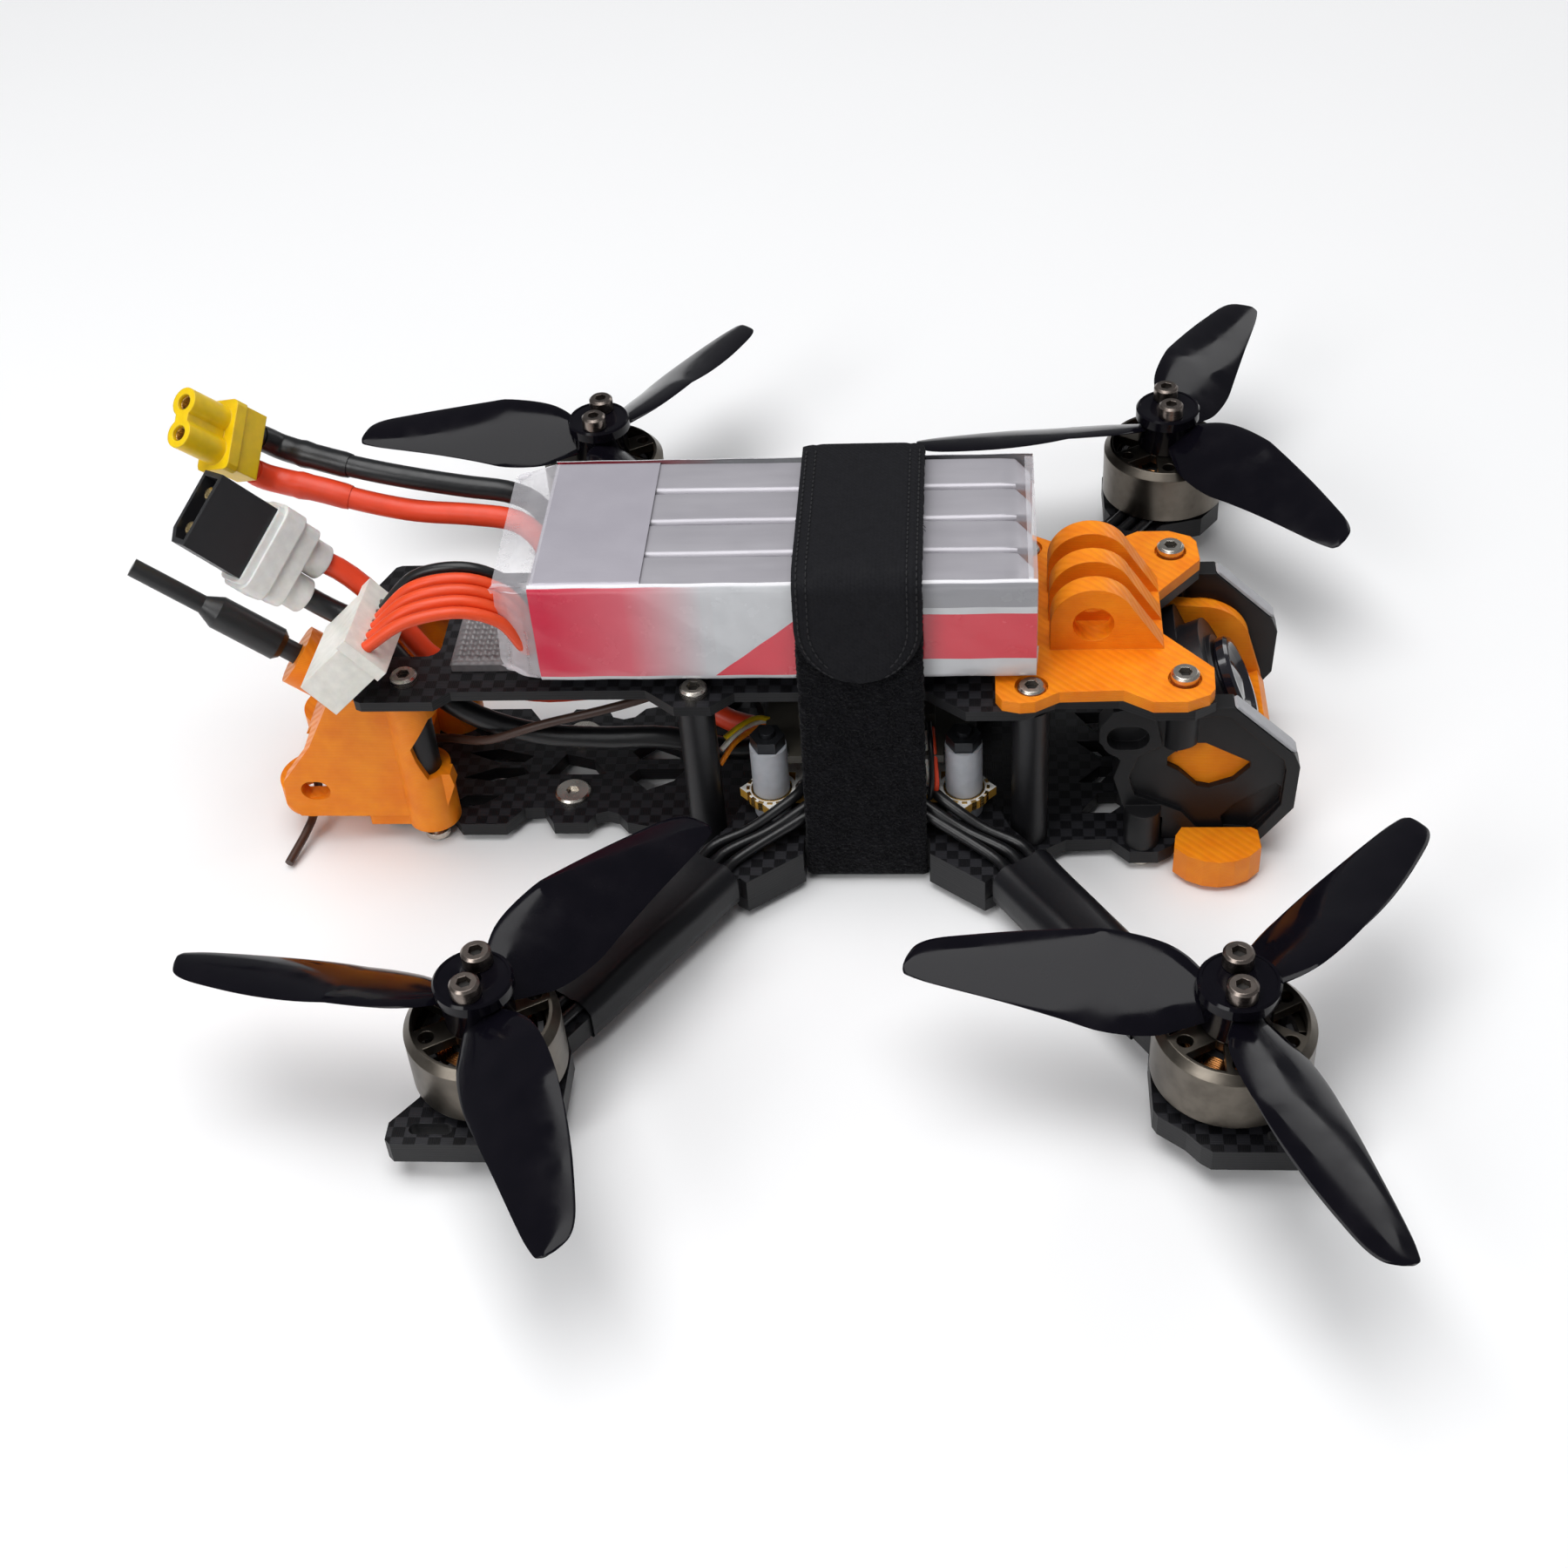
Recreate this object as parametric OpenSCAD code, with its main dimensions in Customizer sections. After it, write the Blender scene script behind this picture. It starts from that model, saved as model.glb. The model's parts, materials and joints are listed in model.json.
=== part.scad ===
// Three-inch quadcopter with a carbon frame, printed mounts, a four-cell pack and a tilting camera.
// The nose points along +X, the left side along +Y. The ground plane is z = 0, and the origin is
// midway between the four motor axes.

/* [Frame] */
// Distance between the rear and the front motor axes
motor_dx = 87; // [86:0.5:88]
// Distance between the right and the left motor axes
motor_dy = 117.5; // [116.5:0.5:118.5]
// Thickness of the carbon base plate
base_t = 2; // [1.5:0.25:2.5]
// Thickness of the carbon arms
arm_t = 3.2; // [3:0.1:3.5]
// Thickness of the carbon top plate
top_t = 1.5; // [1.5:0.25:2]
// Free height between the base plate and the top plate
body_h = 22.5; // [22:0.25:23]

/* [Motors and propellers] */
// Outer diameter of a motor bell
bell_d = 18.6; // [18:0.2:19]
// Diameter of the circle that the propeller tips sweep
prop_d = 76.2; // [70:0.2:77]
// Advance of the blade per turn, which sets its twist
prop_pitch = 50; // [40:1:60]
// Hole circle of the motor screws
motor_pcd = 9; // [9:0.5:9.5]

/* [Electronics] */
// Hole spacing of the flight board
board_pitch = 25.5; // [25:0.5:26]
// Angle of the camera above the horizon as it stands
camera_tilt = 25; // [10:1:35]

/* [Battery] */
// Length of the four cells
cell_l = 62; // [60:0.5:63]
// Width of one cell
cell_w = 6.9; // [6.8:0.05:6.9]
// Height of the cells
cell_h = 14.9; // [14.5:0.1:15]
// Width of the battery strap
strap_w = 16; // [14:1:16]
// Thickness of one layer of the strap
strap_t = 1.2; // [1.2:0.1:1.4]

/* [Hidden] */
$fn = 48;

// Levels, from the ground up
base_z = strap_t;
arm_z = base_z + base_t;
motor_z = arm_z + arm_t;
top_z = arm_z + body_h;
deck_z = top_z + top_t;
flange_t = 1.7;
pad_t = 2;
pack_z = deck_z + pad_t;
wrap_t = 0.35;

// The four corners: side signs, the azimuth of one blade, the sense of rotation and the azimuth
// of the pair of propeller screws
CORNERS = [[-1, -1, 49, 1, 84], [1, -1, 53, -1, 90], [1, 1, 64, 1, 95], [-1, 1, 60, -1, 84]];
function motor_at(c) = [c[0] * motor_dx / 2, c[1] * motor_dy / 2];

// Fits
hole_play = 0.05;
m2 = 1.0;
head_r = 1.8;
head_h = 1.2;
socket_r = 0.9;

// Screw places on the plates, for one side
REAR_SCREW = [-59.9, 10.4];
MID_SCREW = [-21.6, 13.4];
FRONT_SCREW = [21.3, 14.6];
NOSE_SCREW = [40.4, 13.4];
CAGE_FOOT = [36, 15.6];
ARM_CLAMP = [10.4, 4.4];

// Colours
CARBON = [0.09, 0.09, 0.10];
ORANGE = [0.95, 0.42, 0.03];
STEEL = [0.72, 0.70, 0.66];
BLACK = [0.05, 0.05, 0.055];
NICKEL = [0.45, 0.43, 0.40];

// ---- helpers -------------------------------------------------------------------------------

module both_sides() {
    children();
    mirror([0, 1, 0]) children();
}

module at_corners() {
    for (c = CORNERS) translate([motor_at(c)[0], motor_at(c)[1], 0]) children();
}

// Outline with its right half mirrored from the left half
module symmetric_outline(half) {
    polygon(concat(half, [for (i = [len(half) - 1 : -1 : 0]) [half[i][0], -half[i][1]]]));
}

// Corner points of a rectangle with rounded corners, centred on the origin
function round_rect(w, h, r, steps = 5) = [
    for (q = [0 : 3], k = [0 : steps])
        let (sx = (q == 0 || q == 3) ? 1 : -1, sy = q < 2 ? 1 : -1, a = 90 * q + 90 * k / steps)
        [sx * (w / 2 - r) + r * cos(a), sy * (h / 2 - r) + r * sin(a)]
];

// Slot along X between two x values
module slot(x0, x1, y, r) {
    translate([x0, y]) circle(r);
    translate([x1, y]) circle(r);
    translate([x0, y - r]) square([x1 - x0, 2 * r]);
}

// Cap screw standing on z = 0 with its shank below, its rim chamfered
module screw(shank, r_head = head_r, h_head = head_h) {
    rim = min(0.3, h_head / 3);
    difference() {
        rotate_extrude() polygon([[0, 0], [r_head, 0], [r_head, h_head - rim],
            [r_head - rim, h_head], [0, h_head]]);
        translate([0, 0, h_head - min(0.9, h_head - 0.3)]) cylinder(r = socket_r, h = 1, $fn = 6);
    }
    translate([0, 0, -shank]) cylinder(r = m2, h = shank);
}

module nut(h) {
    difference() {
        cylinder(r = 2.3, h = h, $fn = 6);
        translate([0, 0, -0.1]) cylinder(r = m2 + hole_play, h = h + 0.2);
    }
}

function unit(v) = v / norm(v);
function tangent(p, i) = unit(p[min(i + 1, len(p) - 1)] - p[max(i - 1, 0)]);

// Round tube swept along a row of points; ref is a direction that the route never takes
module tube(p, d, ref = [0, 1, 0], sides = 8) {
    rings = [for (i = [0 : len(p) - 1])
        let (t = tangent(p, i), n = unit(cross(ref, t)), b = cross(t, n))
        for (k = [0 : sides - 1])
            p[i] + d / 2 * (cos(360 * k / sides) * n + sin(360 * k / sides) * b)];
    last = (len(p) - 1) * sides;
    walls = [for (i = [0 : len(p) - 2], k = [0 : sides - 1])
        let (a = i * sides + k, b = i * sides + (k + 1) % sides)
        for (f = [[a, a + sides, b + sides], [a, b + sides, b]]) f];
    caps = [[for (k = [0 : sides - 1]) k], [for (k = [sides - 1 : -1 : 0]) last + k]];
    polyhedron(points = rings, faces = concat(walls, caps), convexity = 4);
}

// ---- carbon plates ---------------------------------------------------------------------------

BASE_HALF = [[-67.7, 0], [-67.7, 9.2], [-67.2, 9.7], [-63.5, 9.8], [-61.4, 10.7], [-57.3, 10.3],
    [-56, 12.2], [-49.8, 12.2], [-47.6, 9], [-44.9, 9], [-43.2, 12], [-38.5, 12], [-37.6, 10.2],
    [-36, 9.7], [-34.4, 10.2], [-33, 12], [-27, 13.5], [-25, 16.5], [-21, 17.4], [-16.8, 25.9],
    [-15.4, 26.9], [-8.2, 21.4], [-8.2, 18.6], [8.2, 18.6], [8.2, 21.4], [15.4, 26.9],
    [16.8, 25.9], [21, 17.6], [23.6, 17.3], [26.1, 15.7], [32.1, 15.5], [34.4, 18], [38.1, 18],
    [39.9, 16.8], [41.8, 13.8], [41.8, 11], [36, 9], [36, 0]];

module base_cutouts() {
    both_sides() {
        polygon([[-57.3, 2.6], [-52.9, 0.6], [-49, 0.6], [-47.9, 1.9], [-53, 3.4]]);
        polygon([[-57.5, 7.7], [-56.2, 8.7], [-53.5, 8.2], [-51.4, 6.3], [-56.1, 6.3]]);
        polygon([[-33.9, 2.6], [-32.6, 1], [-25.9, 1], [-27.5, 3.6], [-31, 5.4]]);
        polygon([[28.2, 10.35], [30.75, 6.4], [33.3, 6.4], [34.85, 8], [32.3, 10.4]]);
        polygon([[28.2, 4.2], [31.2, 4.3], [33.5, 1], [31.2, 1]]);
    }
    polygon([[-45.7, -2.1], [-43.2, 2.25], [-39.2, 1], [-37, -2.1]]);
}

module base_plate() {
    color(CARBON) translate([0, 0, base_z]) difference() {
        linear_extrude(base_t) difference() {
            symmetric_outline(BASE_HALF);
            base_cutouts();
            both_sides() {
                for (s = [REAR_SCREW, MID_SCREW, FRONT_SCREW, CAGE_FOOT, ARM_CLAMP,
                        [-ARM_CLAMP[0], ARM_CLAMP[1]], [-41.2, 6.2]])
                    translate(s) circle(m2 + hole_play);
                for (x = [-1, 1]) translate([x, 1] * board_pitch / 2) circle(m2 + hole_play);
            }
        }
    }
}

// Direction of an arm and the point on its axis where the sleeve begins
ARM_ROOT = [19.2, 23.3];
function arm_run() = [motor_dx / 2, motor_dy / 2] - ARM_ROOT;
arm_len = norm(arm_run());
arm_angle = atan2(arm_run()[1], arm_run()[0]);
arm_half = 3.9;

// Point at s along the arm's axis and t to its outer side
function on_arm(s, t) = ARM_ROOT + s * [cos(arm_angle), sin(arm_angle)]
    + t * [sin(arm_angle), -cos(arm_angle)];

module arm_outline() {
    m = [motor_dx / 2, motor_dy / 2];
    polygon([[0.4, 0.4], [13, 0.4], [15.6, 8], [18.7, 16.4], on_arm(0, arm_half),
        on_arm(arm_len - 7, arm_half), m + [5.5, -6.3], m + [8.5, -2.2], m + [8.2, 4.2],
        m + [11.2, 8.1], m + [11.2, 10.6], m + [10.5, 11.3], m + [-2.8, 11.3], m + [-4, 10.4],
        m + [-5.5, 8.6], m + [-8.6, 6.2], m + [-9.1, 5.2], m + [-9.1, -3],
        on_arm(arm_len - 9, -arm_half), on_arm(0.6, -arm_half), [15.4, 26.9], [8.3, 21.5],
        [8.3, 18.6], [0.4, 18.6]]);
}

module arm(c) {
    m = [motor_dx / 2, motor_dy / 2];
    color(CARBON) translate([0, 0, arm_z]) scale_corner(c) linear_extrude(arm_t) difference() {
        arm_outline();
        translate(m) circle(2.4);
        for (a = [45 : 90 : 315]) translate(m + motor_pcd / 2 * [cos(a), sin(a)]) circle(1.1);
        translate(m) slot(4.2, 7.8, 9, 0.8);
        translate([1, 1] * board_pitch / 2) circle(m2 + hole_play);
        translate(ARM_CLAMP) circle(m2 + hole_play);
    }
}

module scale_corner(c) {
    mirror([c[0] < 0 ? 1 : 0, 0, 0]) mirror([0, c[1] < 0 ? 1 : 0, 0]) children();
}

module arm_rear_right() { arm(CORNERS[0]); }
module arm_front_right() { arm(CORNERS[1]); }
module arm_front_left() { arm(CORNERS[2]); }
module arm_rear_left() { arm(CORNERS[3]); }

TOP_HALF = [[-67.8, 0], [-67.8, 9.5], [-65.8, 14.4], [-65, 14.8], [-55.5, 14.8], [-53.5, 12.8],
    [-28, 12.8], [-24, 16.2], [-19.3, 16.2], [-16.4, 13.5], [8, 13.5], [10, 15.1], [13.1, 17.6],
    [20.5, 17.6], [24.3, 15.4], [32.2, 15.4], [36.5, 17.8], [41.5, 17.8], [44.2, 16],
    [44.2, 11.4], [38.4, 4.4], [38.4, 0]];

module top_plate() {
    color(CARBON) translate([0, 0, top_z]) linear_extrude(top_t) difference() {
        symmetric_outline(TOP_HALF);
        translate([-61.2, 0]) polygon(round_rect(10, 10.8, 2));
        both_sides() for (s = [REAR_SCREW, MID_SCREW, FRONT_SCREW, NOSE_SCREW])
            translate(s) circle(m2 + hole_play);
    }
}

// ---- frame fasteners ---------------------------------------------------------------------------

module standoffs() {
    bore_depth = 7;
    color(BLACK) both_sides() for (s = [REAR_SCREW, MID_SCREW, FRONT_SCREW])
        translate([s[0], s[1], arm_z]) difference() {
            cylinder(r = 2.4, h = body_h);
            translate([0, 0, -0.1]) cylinder(r = m2 + hole_play, h = bore_depth);
            translate([0, 0, body_h - bore_depth + 0.1])
                cylinder(r = m2 + hole_play, h = bore_depth);
        }
}

screw_sink = 0.9;
module frame_screws_top() {
    color(STEEL) both_sides() {
        for (s = [REAR_SCREW, MID_SCREW]) translate([s[0], s[1], deck_z]) screw(6);
        translate([0, 0, deck_z + flange_t - screw_sink]) {
            translate(FRONT_SCREW) screw(7, head_r, 1.1);
            translate(NOSE_SCREW) screw(7, head_r, screw_sink + 1.1);
        }
    }
}

module frame_screws_bottom() {
    color(STEEL) both_sides() {
        for (s = [REAR_SCREW, MID_SCREW, FRONT_SCREW, CAGE_FOOT])
            translate([s[0], s[1], base_z]) mirror([0, 0, 1]) screw(base_t + 4.5);
        for (x = [-1, 1]) translate([x * ARM_CLAMP[0], ARM_CLAMP[1], 0]) {
            translate([0, 0, base_z]) mirror([0, 0, 1]) screw(base_t + arm_t + 1.5);
            translate([0, 0, motor_z]) nut(1.5);
        }
        translate([-41.2, 6.2, arm_z]) screw(base_t, 2.5, 0.8);
    }
}

// ---- battery, pad and strap ---------------------------------------------------------------------

pack_x0 = -40.5;
pack_w = 4 * cell_w;

module battery_pad() {
    color([0.35, 0.34, 0.34]) translate([-19, 0, deck_z]) linear_extrude(pad_t)
        polygon(round_rect(70, 17.4, 1.5));
}

module battery_cells() {
    color([0.78, 0.78, 0.80]) for (k = [-1.5 : 1 : 1.5])
        translate([pack_x0, k * cell_w, pack_z + wrap_t + 0.05 + cell_h / 2])
            rotate([90, 0, 90]) linear_extrude(cell_l)
                polygon(round_rect(cell_w - 0.05, cell_h, 1.6, 3));
}

wrap_w = pack_w + 0.1 + 2 * wrap_t;
wrap_h = cell_h + 0.15 + 2 * wrap_t;
module battery_wrap() {
    overhang = 4;
    color([0.80, 0.35, 0.38]) translate([pack_x0 - overhang, 0, pack_z + wrap_h / 2])
        rotate([90, 0, 90]) linear_extrude(cell_l + overhang + 0.7) difference() {
            polygon(round_rect(wrap_w, wrap_h, 1.5, 3));
            polygon(round_rect(wrap_w - 2 * wrap_t, wrap_h - 2 * wrap_t, 1.2, 3));
        }
}

// Half profile of the strap's inner face, from the top of the pack down to the base plate
strap_top = pack_z + wrap_h + 0.1;
STRAP_IN = [[0, strap_top], [13.1, strap_top], [14, strap_top - 0.6],
    [wrap_w / 2 + 0.15, strap_top - 1.8], [18.9, motor_z + 0.6], [18.9, base_z], [0, base_z]];
STRAP_OUT = [[0, strap_top + strap_t], [13.4, strap_top + strap_t],
    [14.9, strap_top + strap_t - 0.6], [wrap_w / 2 + strap_t + 0.15, strap_top - 1.8],
    [20.1, motor_z + 0.6], [20.1, 0.6], [19.4, 0], [0, 0]];

module strap_profile(half) {
    polygon(concat(half, [for (i = [len(half) - 1 : -1 : 0]) [-half[i][0], half[i][1]]]));
}

module battery_strap() {
    color([0.03, 0.03, 0.04]) rotate([90, 0, 90]) linear_extrude(strap_w, center = true)
        difference() {
            strap_profile(STRAP_OUT);
            strap_profile(STRAP_IN);
        }
}

// Stitched end of the strap, folded over the top and down the right side
tab_t = 1.2;
tab_end_z = 32;
module strap_tab() {
    side = wrap_w / 2 + strap_t + 0.15;
    lean = (20.1 - side) / (strap_top - 1.8 - motor_z - 0.6);
    drop = (strap_top - 1.8 - tab_end_z) * lean;
    top = strap_top + strap_t;
    color([0.04, 0.04, 0.045]) intersection() {
        rotate([90, 0, 90]) linear_extrude(strap_w, center = true)
            polygon([[12.8, top], [-13.4, top], [-14.9, top - 0.6], [-side, strap_top - 1.8],
                [-side - drop, tab_end_z], [-side - drop - tab_t, tab_end_z],
                [-side - tab_t, strap_top - 1.8], [-16, top + 0.2], [-14, top + tab_t],
                [12.8, top + tab_t]]);
        rotate([90, 0, 0]) linear_extrude(60, center = true) {
            translate([0, tab_end_z + strap_w / 2]) circle(strap_w / 2);
            translate([-strap_w / 2, tab_end_z + strap_w / 2]) square([strap_w, 30]);
        }
    }
}

// ---- printed mounts -------------------------------------------------------------------------------

// Side cheek of the rear mount, in x and z
CHEEK = [[-56.8, 25.6], [-68.6, 25.6], [-70.6, 24.4], [-74.2, 17.6], [-79, 11.4], [-79.4, 7.4],
    [-77.8, 5.2], [-60.8, 5], [-57.1, 6.9], [-55.6, 10.6], [-56.6, 16.6], [-58.4, 21.6]];
CHEEK_WINDOW = [[-60.1, 18.1], [-57.2, 22.4], [-54, 22.4], [-54, 12.6], [-58.7, 12.6],
    [-59.7, 15.8]];
cheek_out = 12.5;
cheek_t = 2.2;
ANTENNA_ROOT = [-75.4, 0, 22];
antenna_pitch = 38;

module rear_mount() {
    color(ORANGE) difference() {
        union() {
            both_sides() {
                difference() {
                    union() {
                        translate([0, cheek_out, 0]) rotate([90, 0, 0]) linear_extrude(cheek_t)
                            polygon(CHEEK);
                        translate([REAR_SCREW[0], REAR_SCREW[1] - 0.2, arm_z])
                            cylinder(r = 3.6, h = body_h - 0.1);
                    }
                    rotate([90, 0, 0]) linear_extrude(40, center = true) {
                        polygon(CHEEK_WINDOW);
                        translate([-74.9, 9.8]) slot(-0.4, 0.4, 0, 1.6);
                    }
                }
                translate([-76.4, 7.4, arm_z + 1.6]) cylinder(r = 4.8, h = 3.6);
                translate([-76.4, 3, arm_z + 1.6]) cube([12, 8.4, 3.6]);
            }
            translate([-68.4, -cheek_out + 0.4, arm_z]) cube([6, 2 * cheek_out - 0.8, 3.2]);
            rotate([90, 0, 0]) linear_extrude(2 * cheek_out - 1, center = true)
                polygon([[-68, 25.6], [-70.6, 24.4], [-74.2, 17.6], [-77, 13.8], [-74.8, 13.2],
                    [-72, 17], [-69.4, 22], [-66, 22.4], [-64.8, 25.6]]);
            translate(ANTENNA_ROOT) rotate([0, antenna_pitch - 90, 0])
                cylinder(r = 4.2, h = 5, center = true);
        }
        both_sides() {
            translate([REAR_SCREW[0], REAR_SCREW[1], 0]) cylinder(r = 2.45, h = 40);
            linear_extrude(arm_z + 12) translate([-75.6, 7.6]) slot(-1.2, 1.2, 0, 2.4);
        }
        translate(ANTENNA_ROOT) rotate([0, antenna_pitch - 90, 0]) {
            cylinder(r = 1.5, h = 30, center = true);
            translate([0, 0, -12.7]) cylinder(r = 2.6, h = 10);
        }
    }
}

// Half outline of the action camera mount's flange
FLANGE_HALF = [[16.8, 0], [16.8, 15.9], [17.6, 17.4], [19.8, 18], [21.7, 17.8], [24.8, 15.9],
    [32.7, 15.7], [36.3, 18], [40.5, 18], [43.3, 16.7], [44, 15.5], [44.2, 11.4], [38.3, 4.4],
    [38.3, 0]];
FINGER = [29.2, 32.9];
finger_r = 5.4;
finger_t = 3;
finger_hole = 2.6;

module finger_profile() {
    z0 = deck_z + 0.5;
    translate(FINGER) circle(finger_r);
    polygon([[FINGER[0] - finger_r, z0], [FINGER[0] - finger_r, FINGER[1]], FINGER,
        [FINGER[0] + 4.1, FINGER[1] + 3.51], [38.2, z0 + 1.4], [38.2, z0]]);
}

module action_camera_mount() {
    color(ORANGE) difference() {
        union() {
            translate([0, 0, deck_z]) linear_extrude(flange_t) symmetric_outline(FLANGE_HALF);
            for (y = [-6, 0, 6]) translate([0, y + finger_t / 2, 0]) rotate([90, 0, 0])
                linear_extrude(finger_t) finger_profile();
        }
        both_sides() for (s = [FRONT_SCREW, NOSE_SCREW]) translate([s[0], s[1], 0]) {
            translate([0, 0, deck_z - 1]) cylinder(r = m2 + hole_play, h = 10);
            translate([0, 0, deck_z + flange_t - screw_sink]) cylinder(r = 2.1, h = 10);
        }
        translate([FINGER[0], 0, FINGER[1]]) rotate([90, 0, 0])
            cylinder(r = finger_hole, h = 40, center = true);
    }
}

module front_bumpers() {
    color(ORANGE) both_sides() translate([45.6, 0, 0.8]) linear_extrude(4.4)
        polygon([[-4.4, 15.4], [-5.3, 17], [-5.6, 19.2], [-4, 20.9], [-2, 21.9], [0, 22.2],
            [2, 21.9], [4, 20.9], [5.6, 19.2], [5.4, 16], [4.6, 15.4]]);
}

// ---- camera cage ---------------------------------------------------------------------------------

// Rim of the side plate in x and z, then its openings
CAGE_RIM = [[34, 25.6], [46.6, 25.6], [54.8, 17.6], [55.6, 15.6], [55.4, 8.6], [51.6, 3],
    [50.4, 2], [43.6, 2], [42, 3.2], [38.6, 3.4], [38.6, 7], [33.4, 9], [32, 14], [32.8, 17],
    [30, 20], [30, 22.4], [31.6, 25]];
CAGE_WINDOW = [[39.9, 18.9], [41, 19.2], [43.5, 19.2], [49.4, 15.9], [49.4, 15], [47.4, 12.6],
    [44.5, 11.4], [42.8, 11.8], [40.4, 14.4], [38.8, 15.4], [38.8, 16.8], [39.8, 17.8]];
CAGE_SLOT = [[44.5, 20.7], [47.6, 20.9], [51.4, 18.4], [51, 17.3], [49.6, 17.2], [45.6, 19.6]];
CAGE_LOWER = [[46.2, 6.4], [47.8, 8.6], [52.9, 12.3], [53.6, 11.6], [53.6, 9.2], [49.8, 3.9],
    [46.8, 4.2]];
cage_in = 12.6;
cage_t = 2;
PIVOT = [44.6, 15.4];
pin_r = 1.2;
disc_r = 6.2;
disc_depth = 1;
disc_play = 0.08;

module cage_plate() {
    color(BLACK) difference() {
        union() {
            translate([0, cage_in + cage_t, 0]) rotate([90, 0, 0]) linear_extrude(cage_t)
                polygon(CAGE_RIM);
            translate([0, cage_in + cage_t + 0.8, 0]) rotate([90, 0, 0]) linear_extrude(0.9)
                difference() {
                    polygon(CAGE_RIM);
                    polygon([[37, 24], [46, 24.2], [53.4, 16.9], [53.9, 15.2], [53.7, 9.1],
                        [50.6, 4], [44, 4], [41, 8], [34.8, 11], [34, 14], [35, 17.6],
                        [38, 19.4]]);
                    polygon(CAGE_SLOT);
                }
            intersection() {
                translate([NOSE_SCREW[0], NOSE_SCREW[1], top_z - 7]) cylinder(r = 2.4, h = 7);
                translate([NOSE_SCREW[0] - 5, cage_in - 0.8, 0]) cube([10, 6, 40]);
            }
            translate([CAGE_FOOT[0], CAGE_FOOT[1], arm_z]) cylinder(r = 2.3, h = 6);
            translate([CAGE_FOOT[0] - 2.2, cage_in, arm_z]) cube([4.4, 3, 6]);
            translate([33.6, cage_in + cage_t, 20.7]) rotate([-90, 0, 0])
                cylinder(r = 3.4, h = 0.8);
        }
        translate([0, cage_in + cage_t + 2, 0]) rotate([90, 0, 0]) linear_extrude(6)
            polygon(CAGE_WINDOW);
        translate([0, cage_in + cage_t + 1, 0]) rotate([90, 0, 0]) linear_extrude(1.8)
            polygon(CAGE_LOWER);
        translate([33.6, cage_in + cage_t + 1, 20.7]) rotate([90, 0, 0])
            linear_extrude(2) polygon(round_rect(5.4, 3.9, 1.9));
        translate([NOSE_SCREW[0], NOSE_SCREW[1], top_z - 6]) cylinder(r = m2 + hole_play, h = 7);
        translate([CAGE_FOOT[0], CAGE_FOOT[1], arm_z - 1]) cylinder(r = m2 + hole_play, h = 6.2);
        translate([PIVOT[0], cage_in - 1, PIVOT[1]]) rotate([-90, 0, 0])
            cylinder(r = disc_r + disc_play, h = 1 + disc_depth);
    }
}

module cage_left() { cage_plate(); }
module cage_right() { mirror([0, 1, 0]) cage_plate(); }

// ---- camera -------------------------------------------------------------------------------------

module at_pivot() {
    translate([PIVOT[0], 0, PIVOT[1]]) rotate([0, -camera_tilt, 0]) children();
}

camera_w = 19;
camera_back = -9;
camera_front = 3;
pin_reach = 2.6;

module camera_body() {
    depth = camera_front - camera_back;
    color(BLACK) at_pivot() difference() {
        union() {
            translate([camera_back, 0, 0]) rotate([90, 0, 90]) linear_extrude(depth - 3)
                polygon(round_rect(camera_w, camera_w, 2));
            translate([camera_front - 3, 0, 0]) rotate([0, 90, 0])
                cylinder(r = camera_w / 2, h = 3);
            translate([camera_front, 0, 0]) rotate([0, 90, 0]) cylinder(r = 7, h = 0.6);
        }
        translate([-2, 0, 0]) rotate([0, 90, 0]) cylinder(r = 5.5, h = 12);
        for (s = [-1, 1]) translate([0, s * camera_w / 2, 0]) rotate([90, 0, 0])
            cylinder(r = pin_r, h = 2, center = true);
    }
}

module camera_lens() {
    color([0.02, 0.02, 0.03]) at_pivot() rotate([0, 90, 0]) rotate_extrude()
        polygon([[0, -1.9], [5.4, -1.9], [5.4, 3.7], [5.9, 3.8], [6.2, 4.1], [6.2, 5.1],
            [5.8, 5.5], [5.2, 5.5], [4.8, 4.9], [4, 4.2], [2.6, 4.9], [0, 5.4]]);
}

// Printed cradle: two cheeks beside the camera, each with a disc that turns in its cage plate
module camera_bracket() {
    cheek_w = 1.8;
    inner = camera_w / 2 + 0.05;
    bar = 2 * inner + 1;
    color(ORANGE) at_pivot() difference() {
        union() {
            both_sides() {
                translate([0, inner + cheek_w, 0]) rotate([90, 0, 0]) linear_extrude(cheek_w) {
                    circle(7);
                    translate([3.5, -8.05]) circle(2.4);
                    polygon([[-7, -6], [-7, 10.1], [-3, 10.1], [4, 5.7], [7, 0], [5.9, -8],
                        [3.5, -10.4], [-2, -7]]);
                }
                translate([0, inner + cheek_w - 0.1, 0]) rotate([-90, 0, 0])
                    cylinder(r = disc_r, h = cage_in + disc_depth - 0.1 - inner - cheek_w + 0.1);
            }
            translate([-7, -bar / 2, inner]) cube([4, bar, 0.55]);
            translate([camera_front + 0.2, -bar / 2, -9.8]) cube([2.6, bar, 2.6]);
        }
        both_sides() translate([0, inner - 1, 0]) rotate([-90, 0, 0])
            cylinder(r = pin_r, h = 1 + pin_reach);
    }
}

module camera_pins() {
    color(STEEL) at_pivot() both_sides() translate([0, camera_w / 2 - 0.9, 0])
        rotate([-90, 0, 0]) cylinder(r = pin_r, h = pin_reach + 0.9);
}

// ---- electronics ----------------------------------------------------------------------------------

board_z = motor_z + 2.4;
board_t = 1.4;
vtx_z = 15.2;
ear_r = 3.3;
HALF_PITCH = board_pitch / 2;

module at_posts() {
    for (x = [-1, 1], y = [-1, 1]) translate([x * HALF_PITCH, y * HALF_PITCH, 0]) children();
}

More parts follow.
